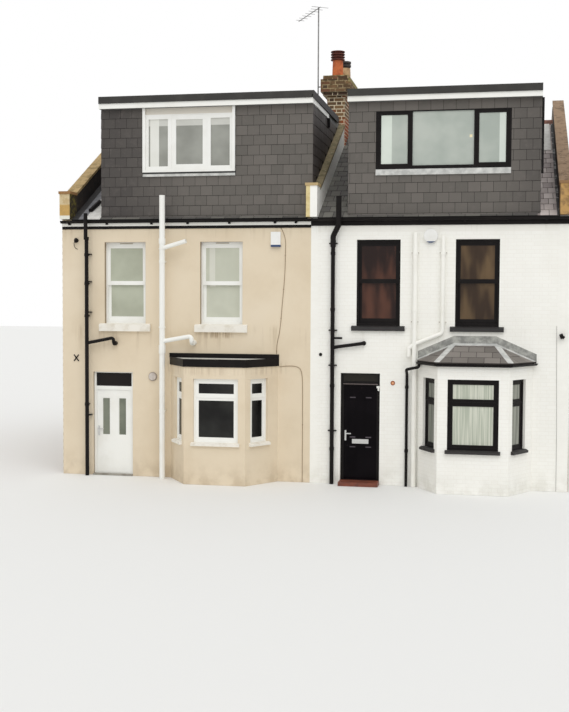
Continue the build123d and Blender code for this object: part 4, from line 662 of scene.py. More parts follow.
# Painted reflection: beside the right party wall the garden slates are pale pink-grey where they mirror
# the sky.
right_strip_sky_reflection = pitched.mix(tone, tint(138, 126, 124), tint(206, 196, 192))
color = pitched.mix(pitched.zone((4.5, None, None), (4.95, RIDGE_Y, None)), color, right_strip_sky_reflection)
color = pitched.mix(pitched.patches(0.55, 0.8, 9, 5, 0.65) * 0.4, color, tint(128, 124, 104))
bay_side = pitched.mix(tone, tint(108, 103, 98), tint(136, 130, 124))
color = pitched.mix(pitched.zone((2.0, -0.9, None), (4.7, -0.01, 3.0)), color, bay_side)
riven = pitched.noise(14, 5, 0.6) * 0.8 + pitched.noise(120, 2) * 0.2
roof_slate = pitched.finish(color, pitched.ease(tone, 0, 1, 0.5, 0.65), riven, 0.4, 0.003, gloss=0.25)


def roof_courses(spans, foot, top, gauge=ROOF_GAUGE, width=ROOF_W):
    joint = SLATE_JOINT * 1.5
    return courses(spans, foot, top, gauge, (width,), joint, (width + joint) / 2, gauge - joint)


slope_up = (0, FALL, math.sin(ROOF_PITCH))
garden_slope = plane(Vector((0, -OVERSAIL, EAVES - OVERSAIL * PITCH_RISE)), (1, 0, 0), slope_up)
slope_length = (RIDGE_Y + OVERSAIL) / FALL
eaves_strip = (OVERSAIL + FACE_Y) / FALL


def strip(x0, x1, start=0.0, end=slope_length, width=ROOF_W):
    return list(roof_courses(lambda z: [(x0, x1)], start, end, ROOF_GAUGE, width))


work = [
    (garden_slope, strip(SHEET_SIDE, left_front[0], SHEET_END)),
    (garden_slope, strip(RIGHT_HOUSE[0], right_front[0], width=NARROW_W)),
    (garden_slope, strip(right_front[1], RIGHT_HOUSE[1], width=NARROWER_W)),
    (garden_slope, strip(left_front[0], LEFT_HOUSE[1], 0, eaves_strip)),
    (garden_slope, strip(right_front[0], right_front[1], 0, eaves_strip)),
]
street_start = Vector((0, DEPTH + OVERSAIL, EAVES - OVERSAIL * PITCH_RISE))
street_slope = plane(street_start, (-1, 0, 0), (0, -slope_up[1], slope_up[2]))
work += [(street_slope, strip(-right, -left)) for left, right in (LEFT_HOUSE, RIGHT_HOUSE)]
lay("roof_slates", slate_unit, work, SLATE_OUT, roof_slate, seed=13)

# The right bay's hipped roof has three slopes of slates, nailed to battens and cut to the
# hips, where they meet under lead.
BAY_GAUGE, BAY_W, BAY_SLATE_OUT = 0.250, 0.300, 0.006
BAY_EAVES, BAY_CROWN, BAY_RIDGE = 2.581, 2.930, 0.414
EAVES_END, EAVES_FRONT, EAVES_DEEP = 1.2104, 0.7225, 0.840
BAY_LEFT_CUT = BAY_X - BAY_HALF + 0.006
LEAST_SLOPE, CROWN_GAP = 0.06, 0.02
foot_points = [Vector((BAY_X + dx, dy, BAY_EAVES)) for dx, dy in (
    (-EAVES_END, 0), (-EAVES_FRONT, -EAVES_DEEP), (EAVES_FRONT, -EAVES_DEEP), (EAVES_END, 0),
)]
crown_points = [Vector((BAY_X + dx, 0, BAY_CROWN)) for dx in (-BAY_RIDGE, BAY_RIDGE)]


def slope_courses(start, end, tops, cut=None):
    """Slates on a three- or four-sided slope, from its foot line to its top points."""
    along = (end - start).normalized()
    first = tops[0] - start
    rise = first - along * first.dot(along)
    up = rise.normalized()
    length, high = (end - start).length, rise.length
    lefts = first.dot(along)
    rights = (tops[-1] - start).dot(along)

    def sides(s):
        share = s / high
        low = lefts * share
        if cut is not None:
            low = max(low, (cut - start.x - up.x * s) / along.x)
        return low, length + (rights - length) * share

    def at(s):
        low, far = sides(s - BAY_GAUGE / 2)
        return [(low, far)] if far - low > LEAST_SLOPE else []

    laid = roof_courses(at, 0.0, high - CROWN_GAP, BAY_GAUGE, BAY_W)
    return plane(start, along, up), laid, sides


work = [
    slope_courses(foot_points[0], foot_points[1], crown_points[:1], BAY_LEFT_CUT),
    slope_courses(foot_points[1], foot_points[2], crown_points),
    slope_courses(foot_points[2], foot_points[3], crown_points[1:]),
]
lay("bay_slates", slate_unit, work, BAY_SLATE_OUT, roof_slate, seed=17)

# Sheet lead is cut to shape and dressed by hand over the bay's hips, up the walls and under
# the dormer windows. It is bright on the bay, and dull where it turns up the wall.
lead = Paint("sheet_lead")
mottle = lead.patches(0.35, 0.7, 7, 5, 0.6)
bright = lead.mix(mottle, tint(186, 187, 184), tint(214, 214, 210))
dull = lead.mix(mottle, tint(132, 132, 128), tint(184, 184, 177))
up_wall = lead.zone((None, -0.012, None), (None, 0.05, 4.0))
apron = lead.ease(lead.z, 4.0, 5.0) * lead.patches(0.35, 0.65, 9, 4)
color = lead.mix(up_wall, lead.mix(apron * 0.35, bright, dull), dull)
shadow = lead.zone((None, None, 6.418), (0.0, None, 6.46), 0.006)
color = lead.mix(shadow, color, tint(52, 51, 50))
sheet_lead = lead.finish(color, 0.6, lead.noise(9, 4), 0.5, 0.006)
clad(sheet_lead, "lead_flashings")

# Sheets of lead lie on the two end strips of the roof: a dark valley and a grey apron beside the
# left parapet, a pale sheet by the left dormer, and a pale sheet and a dark soaker on the right.
# Two rolls cover the long joints.
STRIP_LONG = 5.38
SHEETS = (
    ((-5.218, 0.0, 0.0), (-5.062, STRIP_LONG, 0.010)),
    ((-5.050, 0.0, 0.0), (-4.915, STRIP_LONG, 0.014)),
    ((SHEET_SIDE, 0.0, 0.0), (-4.592, SHEET_END, 0.012)),
    ((4.655, 3.55, 0.0), (4.845, 5.36, 0.024)),
    ((4.872, 0.0, 0.0), (4.923, STRIP_LONG, 0.026)),
)
ROLLS_X, ROLL_R = (-5.056, -4.910), 0.012


def eased(low, high, edge=0.003):
    """A block between two corners with its arrises eased."""
    low, high = Vector(low), Vector(high)
    bpy.ops.mesh.primitive_cube_add(size=1, location=(low + high) / 2)
    part = bpy.context.object
    part.scale = high - low
    bpy.ops.object.transform_apply(location=True, rotation=True, scale=True)
    bpy.ops.object.mode_set(mode="EDIT")
    bpy.ops.mesh.select_all(action="SELECT")
    bpy.ops.mesh.bevel(offset=edge, segments=2, affect="EDGES")
    bpy.ops.object.mode_set(mode="OBJECT")
    part.select_set(False)
    return part


def disc(centre, radius, depth, edge=0.004, turn=(math.pi / 2, 0, 0), sides=28):
    """A round block with eased rims, its axis turned from upright."""
    bpy.ops.mesh.primitive_cylinder_add(
        vertices=sides, radius=radius, depth=depth, location=centre, rotation=turn,
    )
    part = bpy.context.object
    bpy.ops.object.transform_apply(location=True, rotation=True, scale=True)
    bpy.ops.object.mode_set(mode="EDIT")
    shape = bmesh.from_edit_mesh(part.data)
    for rim in shape.edges:
        rim.select = any(len(face.verts) > 4 for face in rim.link_faces)
    bmesh.update_edit_mesh(part.data)
    bpy.ops.mesh.bevel(offset=edge, segments=2, affect="EDGES")
    bpy.ops.object.mode_set(mode="OBJECT")
    part.select_set(False)
    return part


def join(parts):
    """Makes one mesh of some parts."""
    bpy.ops.object.select_all(action="DESELECT")
    for part in parts:
        part.select_set(True)
    bpy.context.view_layer.objects.active = parts[0]
    if len(parts) > 1:
        bpy.ops.object.join()
    return bpy.context.object


def gather(name, parts, material, body="houses"):
    """Joins parts into one piece with one finish."""
    piece = join(parts)
    piece.name = name
    piece.data.name = name
    piece.data.materials.clear()
    piece.data.materials.append(material)
    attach(piece, body)
    piece.select_set(False)
    return piece


parts = []
for low, high in SHEETS:
    part = eased(low, high)
    part.data.transform(garden_slope)
    parts.append(part)
for x in ROLLS_X:
    roll = disc((x, STRIP_LONG / 2, 0.010), ROLL_R, STRIP_LONG, 0.003, sides=12)
    roll.data.transform(garden_slope)
    parts.append(roll)
sheet = Paint("strip_leadwork")
mottle = sheet.patches(0.35, 0.7, 8, 5, 0.6)
dark = sheet.mix(mottle, tint(44, 43, 43), tint(62, 60, 60))
color = sheet.mix(mottle, tint(112, 112, 116), tint(138, 138, 141))
color = sheet.mix(sheet.ease(sheet.x, -5.07, -5.06, 1, 0), color, dark)
pale = sheet.mix(mottle, tint(206, 204, 198), tint(226, 225, 220))
color = sheet.mix(sheet.zone((-4.908, None, None), (4.86, None, None)), color, pale)
patches = sheet.mix(sheet.patches(0.5, 0.62, 6, 3), dark, tint(150, 150, 148))
color = sheet.mix(sheet.ease(sheet.x, 4.862, 4.870), color, patches)
gather("strip_leadwork", parts, sheet.finish(color, 0.6, sheet.noise(9, 4), 0.5, 0.006))

# White plastic: the left house's windows, door and soil stack, the dormers' fascias and the
# street windows. It is moulded hollow, cut to length and welded or clipped together, and it
# carries a thin grey film of dirt.


def plastic(name, face, dirt, amount, rough, gloss=0.5):
    """Moulded plastic or gloss paint with fine scuffs and a film of dirt."""
    paint = Paint(name)
    film = paint.patches(0.45, 0.75, 1.6, 4, 0.6)
    spots = paint.patches(0.6, 0.8, 30, 4)
    color = paint.mix(film * amount, face, dirt)
    color = paint.mix(spots * amount * 0.5, color, dirt)
    return paint.finish(color, rough, paint.noise(25, 2), 0.06, 0.001, gloss)


white_plastic = plastic("white_plastic", tint(243, 243, 238), tint(216, 212, 200), 0.3, 0.38)
clad(white_plastic, "dormer_fascias", "left_sash_windows", "left_bay_windows", "left_door_frame",
     "left_door_leaf", "left_soil_stack", "street_windows")
board_white = plastic("eaves_board", tint(254, 252, 246), tint(232, 228, 216), 0.3, 0.4)
clad(board_white, "left_eaves_board")

# The left dormer's window is of white plastic too. A creamier board is pinned across its head
# to close the gap below the soffit.
HEAD_BOARD = ((-3.592, None, SOFFIT - 0.130), (-1.708, None, None))
dormer_frame = Paint("dormer_window_plastic")
film = dormer_frame.patches(0.45, 0.75, 1.6, 4)
color = dormer_frame.mix(film * 0.3, tint(240, 240, 236), tint(212, 208, 196))
color = dormer_frame.mix(dormer_frame.zone(*HEAD_BOARD), color, tint(214, 208, 196))
clad(dormer_frame.finish(color, 0.4, dormer_frame.noise(25, 2), 0.06, 0.001), "left_dormer_window")

# The right house's white pipes are plastic under wall paint, brushed on with the wall, so they
# are duller than bare plastic.
painted_pipe = plastic("painted_pipe", tint(246, 245, 238), tint(226, 222, 210), 0.35, 0.6)
clad(painted_pipe, "right_white_pipes")

# Black plastic gutters, pipes and boards, moulded and clipped together. The right house's
# window and door frames, the street doors and the hinges are painted the same black.
black_plastic = plastic("black_plastic", tint(22, 19, 19), tint(44, 40, 38), 0.3, 0.45, 0.12)
clad(black_plastic, "gutters", "left_black_pipe", "right_black_pipe", "right_eaves_board",
     "left_bay_fascia", "right_bay_windows", "right_sash_windows", "right_dormer_window",
     "right_door_frame", "street_doors", "door_hinges")

# The right garden door is framed and panelled joinery under black gloss paint. The edges of
# its panels catch the sky as short pale lines.
PANEL_EDGES_Z, PANELS_X = (1.784, 0.966, 0.763), (0.792, 1.120)
LINE_LONG, LINE_HALF = 0.110, 0.008
door_paint = Paint("gloss_black_paint")
film = door_paint.patches(0.45, 0.75, 1.6, 4)
color = door_paint.mix(film * 0.4, tint(13, 10, 13), tint(24, 20, 24))
for z in PANEL_EDGES_Z:
    for x in PANELS_X:
        line = door_paint.zone((x, 0.0, z - LINE_HALF), (x + LINE_LONG, 0.1, z + LINE_HALF), 0.006)
        color = door_paint.mix(line, color, tint(96, 90, 96))
clad(door_paint.finish(color, 0.2, door_paint.noise(25, 2), 0.06, 0.001, 0.05), "right_door_leaf")

# Dark sheet metal is folded over the kerbs at the dormers' feet and nailed down. It is darker
# at the middle party wall.
kerb = Paint("kerb_sheet")
color = kerb.mix(kerb.patches(0.4, 0.7, 3, 4), tint(58, 57, 55), tint(66, 65, 62))
color = kerb.mix(kerb.zone((-0.02, 0.0, None), (0.03, None, None)), color, tint(44, 42, 43))
clad(kerb.finish(color, 0.6, kerb.noise(20, 3), 0.2, 0.002, 0.2), "dormer_kerbs")

# The two alarm boxes are moulded plastic covers, screwed to the walls. Each is white above and
# blue in its lower part.
alarm = Paint("alarm_plastic")
left_blue = alarm.zone((-0.9, None, 4.8), (-0.6, None, 4.912))
right_blue = alarm.zone((2.2, None, 4.9), (2.6, None, 4.968))
dirt = alarm.patches(0.4, 0.7, 3, 4)
color = alarm.mix(dirt * 0.4, tint(238, 238, 235), tint(214, 212, 204))
color = alarm.mix(left_blue + right_blue, color, tint(34, 62, 104))
clad(alarm.finish(color, 0.4, alarm.noise(25, 2), 0.06, 0.001), "alarm_boxes")

# The doors' handles and plates are bright steel, pressed and polished, and screwed to the
# leaves.
steel = Paint("bright_steel")
bright_steel = steel.finish(tint(205, 205, 203), 0.25, steel.noise(60, 3), 0.05, 0.001, metallic=1.0)
clad(bright_steel, "left_door_furniture", "right_door_furniture")

# The television aerial is bare alloy rod and tube, clamped to its pole and dulled by the
# weather.
alloy = Paint("weathered_alloy")
color = alloy.mix(alloy.patches(0.4, 0.7, 30, 4), tint(150, 150, 150), tint(110, 108, 104))
clad(alloy.finish(color, 0.5, metallic=0.7), "tv_aerial")

# The flat roofs are boarded decks under a glued membrane. It is dark grey on the dormers and a
# paler sheet on the left bay.
deck = Paint("roof_membrane")
worn = deck.patches(0.4, 0.7, 2, 5)
pale_sheet = deck.mix(worn, tint(192, 192, 187), tint(212, 211, 205))
grey_felt = deck.mix(worn, tint(108, 109, 109), tint(120, 121, 119))
color = deck.mix(deck.ease(deck.z, 4.0, 4.1), pale_sheet, grey_felt)
clad(deck.finish(color, 0.75, deck.noise(20, 3), 0.3, 0.004), "dormer_roofs", "left_bay_roof")

# Stone copings in short sawn lengths run down each parapet, bedded in mortar. Moss and lichen
# have coloured each run of them in its own way.
COPING_LONG, COPING_JOINT = 0.62, 0.014
stone = Paint("coping_stone")
moss = stone.patches(0.45, 0.65, 7, 5, 0.65)
left_stone = stone.mix(moss, tint(184, 158, 112), tint(134, 114, 74))
middle_stone = stone.mix(moss, tint(136, 124, 96), tint(106, 98, 70))
right_stone = stone.mix(moss, tint(148, 124, 100), tint(112, 92, 72))
color = stone.mix(stone.ease(stone.x, -3.1, -3.0), left_stone, middle_stone)
color = stone.mix(stone.ease(stone.x, 3.0, 3.1), color, right_stone)
color = stone.mix(stone.patches(0.66, 0.74, 18, 4) * 0.8, color, tint(214, 206, 184))
joints = stone.ease(stone.y % COPING_LONG, 0.0, COPING_JOINT, 1, 0)
color = stone.mix(joints * 0.8, color, tint(74, 64, 48))
clad(stone.finish(color, 0.9, stone.noise(30, 5), 0.6, 0.006), "parapet_copings")

# Each coping ends at a square stone kneeler under a thin cap, built into the wall's head. The
# kneelers are painted with the walls below them, and the left one is green at its end.
KNEELER_CAPS = (
    (-6, -3, 6.010, tint(150, 112, 70)), (-3, 3, 6.110, tint(186, 162, 118)),
    (3, 6, 6.080, tint(140, 108, 74)),
)
knee = Paint("painted_kneelers")
moss = knee.patches(0.42, 0.65, 9, 5, 0.65)
left_knee = knee.mix(knee.ease(knee.z, 5.76, 5.80), tint(196, 160, 94), tint(206, 188, 150))
left_knee = knee.mix(moss * 0.5, left_knee, tint(170, 138, 84))
left_knee = knee.mix(knee.ease(knee.z, 5.54, 5.56, 1, 0), left_knee, tint(226, 226, 214))
growth = knee.mix(knee.patches(0.45, 0.6, 16, 4), tint(52, 42, 26), tint(104, 94, 36))
left_knee = knee.mix(knee.ease(knee.x, -5.224, -5.222), left_knee, growth)
bare_half = knee.mix(moss * 0.5, tint(222, 204, 152), tint(190, 166, 110))
middle_knee = knee.mix(knee.ease(knee.x, -0.034, -0.028), bare_half, painted(knee, WHITE))
right_knee = knee.mix(moss, tint(184, 146, 90), tint(142, 112, 72))
color = knee.mix(knee.ease(knee.x, -3.1, -3.0), left_knee, middle_knee)
color = knee.mix(knee.ease(knee.x, 3.0, 3.1), color, right_knee)
for x0, x1, seat, tan in KNEELER_CAPS:
    color = knee.mix(knee.zone((x0, None, seat), (x1, None, None)), color, tan)
clad(knee.finish(color, 0.85, knee.noise(30, 5), 0.5, 0.005), "kneelers")

# The sills are stone or cast concrete, built in under each window. The left house's are painted
# cream and have worn, and the right house's are painted black.
sill = Paint("painted_sill")
color = sill.mix(sill.patches(0.45, 0.75, 5, 4) * 0.6, tint(238, 234, 224), tint(208, 198, 178))
clad(sill.finish(color, 0.8, sill.noise(40, 4), 0.3, 0.003), "left_sills")
dark_sill = plastic("black_painted_stone", tint(34, 32, 32), tint(64, 58, 54), 0.3, 0.6)
clad(dark_sill, "right_sills")

# The left doorstep and the ground floors are grey concrete, cast in place and floated off
# smooth.
slab = Paint("concrete")
color = slab.mix(slab.patches(0.4, 0.7, 5, 4), tint(160, 156, 146), tint(132, 127, 116))
clad(slab.finish(color, 0.9, slab.noise(40, 4), 0.4, 0.003), "left_step", "ground_floors")

# The upper floors are softwood boards, planed, laid side by side across the joists and nailed
# down.
BOARD_WIDE, BOARD_GAP = 0.14, 0.006
boards = Paint("floor_boards")
grain = boards.patches(0.3, 0.7, 3, 4, 0.6, (1, 12, 1))
color = boards.mix(grain, tint(150, 118, 84), tint(120, 90, 62))
gaps = boards.ease(boards.y % BOARD_WIDE, 0.0, BOARD_GAP, 1, 0)
color = boards.mix(gaps * 0.8, color, tint(60, 44, 32))
floor_boards = boards.finish(color, 0.6, boards.noise(20, 3, 0.6, (1, 12, 1)), 0.2, 0.002)
clad(floor_boards, "first_floors", "loft_floors")

# The panes are sealed glass with what shows in them: pale sky and blinds in the left house's,
# dark rooms in its bay, net curtains in the right bay, and brown shade in the right sashes.
NET = (tint(176, 182, 166), tint(208, 210, 196))
NET_SHADED = (tint(112, 114, 106), tint(150, 152, 142))
VIEWS = (
    ((-4.60, 0.0, 3.2), (-3.00, 0.4, 5.1), (170, 173, 155), (186, 190, 172)),
    ((-2.90, 0.0, 3.2), (-1.30, 0.4, 5.1), (194, 196, 180), (208, 210, 194)),
    ((-2.216, 0.0, 4.05), (-2.096, 0.4, 5.1), (212, 212, 200), (220, 220, 209)),
    ((-3.60, 0.0, 6.4), (-1.60, 0.4, 7.8), (140, 141, 134), (160, 161, 154)),
    ((-3.60, 0.0, 7.42), (-1.60, 0.4, 7.8), (198, 198, 191), (208, 208, 202)),
    ((-3.50, 0.0, 6.4), (-3.31, 0.4, 7.8), (222, 222, 214), (230, 230, 224)),
    ((1.20, 0.0, 6.4), (4.10, 0.4, 7.8), (168, 176, 168), (186, 192, 184)),
    ((1.38, 0.0, 6.4), (1.60, 0.4, 7.8), (206, 214, 204), (218, 226, 216)),
    ((3.74, 0.0, 6.4), (3.86, 0.4, 7.8), (208, 216, 208), (220, 226, 218)),
    ((3.155, 0.0, 7.04), (3.205, 0.4, 7.09), (232, 218, 176), (240, 228, 190)),
    ((-4.80, 0.0, 1.86), (-3.80, 0.4, 2.3), (18, 12, 12), (26, 20, 18)),
    ((-4.80, 0.0, 0.4), (-3.80, 0.4, 1.80), (96, 102, 90), (130, 134, 120)),
    ((-3.10, -2.0, 0.8), (-0.60, 0.0, 2.3), (20, 19, 19), (44, 44, 42)),
    ((0.60, 0.0, 2.05), (1.45, 0.4, 2.3), (26, 22, 18), (38, 34, 28)),
)
glass = Paint("sealed_glass")
shade = glass.patches(0.35, 0.7, 1.2, 3)
folds = glass.patches(0.38, 0.62, 1.0, 2, 0.5, (34, 34, 0.8))
color = glass.mix(shade, tint(58, 60, 60), tint(84, 88, 86))
for low, high, dim, bright in VIEWS:
    color = glass.mix(glass.zone(low, high), color, glass.mix(shade, tint(*dim), tint(*bright)))
drift = glass.noise(1.0, 2, 0.5, (3.2, 3.2, 0.9))
rooms = glass.mix(glass.ease(drift, 0.38, 0.68), tint(38, 24, 21), tint(88, 56, 44))
brown = glass.mix(glass.ease(drift, 0.34, 0.66), tint(58, 44, 33), tint(104, 84, 60))
color = glass.mix(glass.zone((0.60, 0.0, 3.2), (2.40, 0.4, 5.1)), color, rooms)
color = glass.mix(glass.zone((2.40, 0.0, 3.2), (4.20, 0.4, 5.1)), color, brown)
for x0, x1, cloth in ((2.0, 4.6, NET), (2.0, 2.620, NET_SHADED), (4.006, 4.6, NET_SHADED)):
    curtain = glass.zone((x0, -0.9, 0.8), (x1, 0.0, 2.4))
    color = glass.mix(curtain, color, glass.mix(folds, *cloth))
clad(glass.finish(color, 0.06, gloss=0.2), "window_panes", "left_door_panes")

# A thin black strip lies on the wall below the left eaves board, across the whole left house.
BOARD_OUT, SLATES_THICK, GUTTER_DROP = 0.022, 0.025, 0.006
RIM = EAVES - BOARD_OUT * PITCH_RISE - SLATES_THICK / FALL - GUTTER_DROP    # the gutters' rim
DARK_STRIP_FOOT, DARK_STRIP_HEAD, DARK_STRIP_OUT = 0.177, 0.116, 0.018
dark_strip_start = (LEFT_END + 0.002, -DARK_STRIP_OUT, RIM - DARK_STRIP_FOOT)
dark_strip = eased(dark_strip_start, (PAINT_LINE, 0.0, RIM - DARK_STRIP_HEAD))
gather("left_eaves_dark_strip", [dark_strip], black_plastic)

# Half-round brackets of black plastic carry the gutters. Each is moulded in one with a lug that
# is screwed to the board behind it.
GUTTER_Y, GUTTER_R = -0.078, 0.056
BRACKET_THICK, BRACKET_STRETCH = 0.004, 3.5
FIRST_BRACKET, BRACKETS_FROM = 0.18, 0.15
BRACKETS_AT = (0.99, 1.98, 2.77, 3.67, 4.64, 5.08, 5.90, 6.80, 7.65, 8.50, 9.35, 10.10)
LUG_FOOT, LUG_HEAD = (0.156, -0.062, -0.088), (0.204, -0.0215, -0.036)


def hoop(radius, thick, steps, centre=(0, 0, 0), turn=(math.pi / 2, 0, 0), stretch=1.0):
    """A round moulded ring, its axis turned from upright and its band widened."""
    bpy.ops.mesh.primitive_torus_add(
        major_radius=radius, minor_radius=thick, major_segments=steps[0], minor_segments=steps[1],
        location=centre, rotation=turn,
    )
    part = bpy.context.object
    part.scale = (1, 1, stretch)
    bpy.ops.object.transform_apply(location=True, rotation=True, scale=True)
    part.select_set(False)
    return part


def copies(part, offsets):
    """A part again at other places, each with its own mesh."""
    made = [part]
    for offset in offsets:
        again = part.copy()
        again.data = part.data.copy()
        again.data.transform(Matrix.Translation(offset))
        bpy.context.scene.collection.objects.link(again)
        made.append(again)
    return made


bracket = hoop(GUTTER_R + BRACKET_THICK, BRACKET_THICK, (24, 6), turn=(0, math.pi / 2, 0),
               stretch=BRACKET_STRETCH)
bracket.select_set(True)
bpy.ops.object.mode_set(mode="EDIT")
bpy.ops.mesh.select_all(action="SELECT")
bpy.ops.mesh.bisect(plane_co=(0, 0, 0), plane_no=(0, 0, 1), use_fill=True, clear_outer=True)
bpy.ops.object.mode_set(mode="OBJECT")
bracket.data.transform(Matrix.Translation((LEFT_END + FIRST_BRACKET, GUTTER_Y, RIM)))
bracket.select_set(False)
wall_rim = Vector((LEFT_END, 0, RIM))
lug = eased(wall_rim + Vector(LUG_FOOT), wall_rim + Vector(LUG_HEAD), 0.004)
brackets = copies(join([bracket, lug]), [(x - BRACKETS_FROM, 0, 0) for x in BRACKETS_AT])
gather("gutter_brackets", brackets, black_plastic)

# The round lamp by the left door has a base and a domed cover of frosted glass, screwed to the
# wall.
LAMP_X, LAMP_Z = -3.421, 2.142
base = disc((LAMP_X, -0.012, LAMP_Z), 0.094, 0.024, 0.006)
cover = disc((LAMP_X, -0.040, LAMP_Z), 0.078, 0.036, 0.012)
frosted = Paint("frosted_glass")
color = frosted.mix(frosted.patches(0.4, 0.7, 12, 3), tint(204, 196, 188), tint(184, 174, 166))
color = frosted.mix(frosted.ease(frosted.y, -0.026, -0.022), color, tint(142, 128, 116))
frosted_glass = frosted.finish(color, 0.4, frosted.noise(20, 3), 0.2, 0.002)
gather("round_lamp", [base, cover], frosted_glass)

# A pattress cross of black iron spreads the pull of a tie rod over the left pier. Two flat arms
# are held by the nut on the rod.
CROSS_X, CROSS_Z = -5.141, 2.513
ARM_TURN = math.radians(38)
arms = []
for turn in (-ARM_TURN, ARM_TURN):
    arm = eased((-0.011, -0.016, -0.088), (0.011, 0.0, 0.088), 0.004)
    arm.data.transform(Matrix.Translation((CROSS_X, 0, CROSS_Z)) @ Matrix.Rotation(turn, 4, "Y"))
    arms.append(arm)
arms.append(disc((CROSS_X, -0.014, CROSS_Z), 0.020, 0.028))
gather("pattress_cross", arms, black_plastic)

# A black ball of moulded plastic closes a vent high on the left pier. It sits on a round plate
# and is held by a loop of wire.
BALL_X, BALL_Z = -5.119, 5.027
BALL_R, BALL_STRETCH = 0.047, (0.9, 0.9, 1.15)
LOOP = (
    (-5.160, -0.040, 5.010), (-5.186, -0.012, 4.982), (-5.181, -0.008, 4.915),
    (-5.151, -0.008, 4.858), (-5.104, -0.008, 4.839),
)


def wire(points, radius):
    """A round wire or cable along a smooth line."""
    line = bpy.data.curves.new("wire", "CURVE")
    line.dimensions = "3D"
    line.bevel_depth = radius
    line.bevel_resolution = 2
    line.use_fill_caps = True
    spline = line.splines.new("NURBS")
    spline.points.add(len(points) - 1)
    for point, spot in zip(spline.points, points):
        point.co = (*spot, 1)
    spline.use_endpoint_u = True
    spline.order_u = min(3, len(points))
    part = bpy.data.objects.new("wire", line)
    bpy.context.scene.collection.objects.link(part)
    part.select_set(True)
    bpy.context.view_layer.objects.active = part
    bpy.ops.object.convert(target="MESH")
    part = bpy.context.object
    part.select_set(False)
    return part


bpy.ops.mesh.primitive_uv_sphere_add(
    segments=20, ring_count=12, radius=BALL_R, location=(BALL_X, -0.060, BALL_Z),
)
ball = bpy.context.object
ball.scale = BALL_STRETCH
bpy.ops.object.transform_apply(location=True, rotation=True, scale=True)
ball.select_set(False)
loop = wire(LOOP, 0.005)
plate = disc((BALL_X, -0.006, BALL_Z), 0.040, 0.012)
gather("ball_vent", [ball, loop, plate], black_plastic)

# A tan cable runs down the wall near the middle, in two lengths of round flex. Small nailed
# clips hold it to the wall.
CABLE_Y, CABLE_R = -0.006, 0.006
CABLE_DOWN = (
    (-0.662, 5.262), (-0.556, 5.096), (-0.566, 4.700), (-0.573, 4.294),
    (-0.623, 3.737), (-0.672, 3.116), (-0.743, 2.866), (-0.742, 2.659),
)
CABLE_ACROSS = (
    (-0.681, 2.394), (-0.525, 2.417), (-0.314, 2.412), (-0.196, 2.325), (-0.186, 1.776), (-0.186, 0.007),
)
CABLE_CLIPS = ((-0.566, 4.70), (-0.600, 4.0), (-0.650, 3.4), (-0.742, 2.72), (-0.40, 2.414), (-0.186, 1.2))


def flex(places, radius):
    """A cable along places on the wall's face, given as (across, up)."""
    return wire([(x, CABLE_Y, z) for x, z in places], radius)


lengths = [flex(CABLE_DOWN, CABLE_R), flex(CABLE_ACROSS, CABLE_R)]
for x, z in CABLE_CLIPS:
    lengths.append(eased((x - 0.012, -0.014, z - 0.006), (x + 0.012, 0.0, z + 0.006), 0.002))
tan_cable = plastic("tan_cable", tint(150, 128, 100), tint(110, 94, 76), 0.4, 0.5)
gather("wall_cables", lengths, tan_cable)

# A ring clips round each black pipe, and the plate behind it is screwed back to the wall. The
# left pipe stands further off its wall, past the eaves board.
PIPE_CLIPS = (
    ((0.438, -0.068), 0.047, 0.032, (0.350, -0.040), (0.526, 0.0), (4.937, 3.165, 2.447, 1.10)),
    ((-4.853, -0.132), 0.044, 0.030, (-4.862, -0.150), (-4.776, 0.0), (4.729, 4.149, 3.499, 1.30)),
)
PLATE_HALF = 0.012
clips = []
for middle, radius, depth, left, right, heights in PIPE_CLIPS:
    for z in heights:
        clips.append(disc((*middle, z), radius, depth, 0.003, (0, 0, 0), 20))
        clips.append(eased((*left, z - PLATE_HALF), (*right, z + PLATE_HALF)))
gather("pipe_clips", clips, black_plastic)

# Flat straps of the same painted plastic hold the right house's two thin white pipes, each with
# a rusty steel screw at both ends.
THIN_PIPES_X, STRAPS_Z = (2.108, 2.667), (4.739, 3.351)
STRAP_HALF, STRAP_HIGH, SCREW_OFF = 0.078, 0.013, 0.066
straps = []
screws = []
for x in THIN_PIPES_X:
    for z in STRAPS_Z:
        low, high = (x - STRAP_HALF, -0.022, z - STRAP_HIGH), (x + STRAP_HALF, 0.0, z + STRAP_HIGH)
        straps.append(eased(low, high))
        for off in (-SCREW_OFF, SCREW_OFF):
            screws.append(disc((x + off, -0.023, z), 0.008, 0.006, 0.001, sides=10))
gather("white_pipe_clips", straps, painted_pipe)
rust = Paint("rusty_screw")
color = rust.mix(rust.patches(0.4, 0.6, 90, 3), tint(112, 84, 64), tint(76, 56, 44))
gather("clip_screws", screws, rust.finish(color, 0.7))

# A thinner grey cable drops past the flood lamp to the ground at the right end, stuck to the
# wall.
END_CABLE = ((4.901, 3.294), (4.912, 2.4), (4.936, 1.234), (4.936, 0.006))
grey_cable = plastic("grey_cable", tint(176, 174, 170), tint(140, 138, 134), 0.4, 0.5)
gather("end_cable", [flex(END_CABLE, 0.005)], grey_cable)

# The flood lamp at the right end is a short black hood of moulded plastic, tipped down. A
# narrower back and a square arm join it to the wall.
FLOOD_TURN = (0, math.radians(70), 0)
flood_parts = [
    disc((4.995, -0.060, 3.092), 0.050, 0.070, 0.006, FLOOD_TURN),
    disc((5.036, -0.058, 3.078), 0.022, 0.040, 0.004, FLOOD_TURN),
    eased((5.018, -0.060, 3.040), (5.040, 0.0, 3.062), 0.003),
]
gather("flood_lamp", flood_parts, black_plastic)

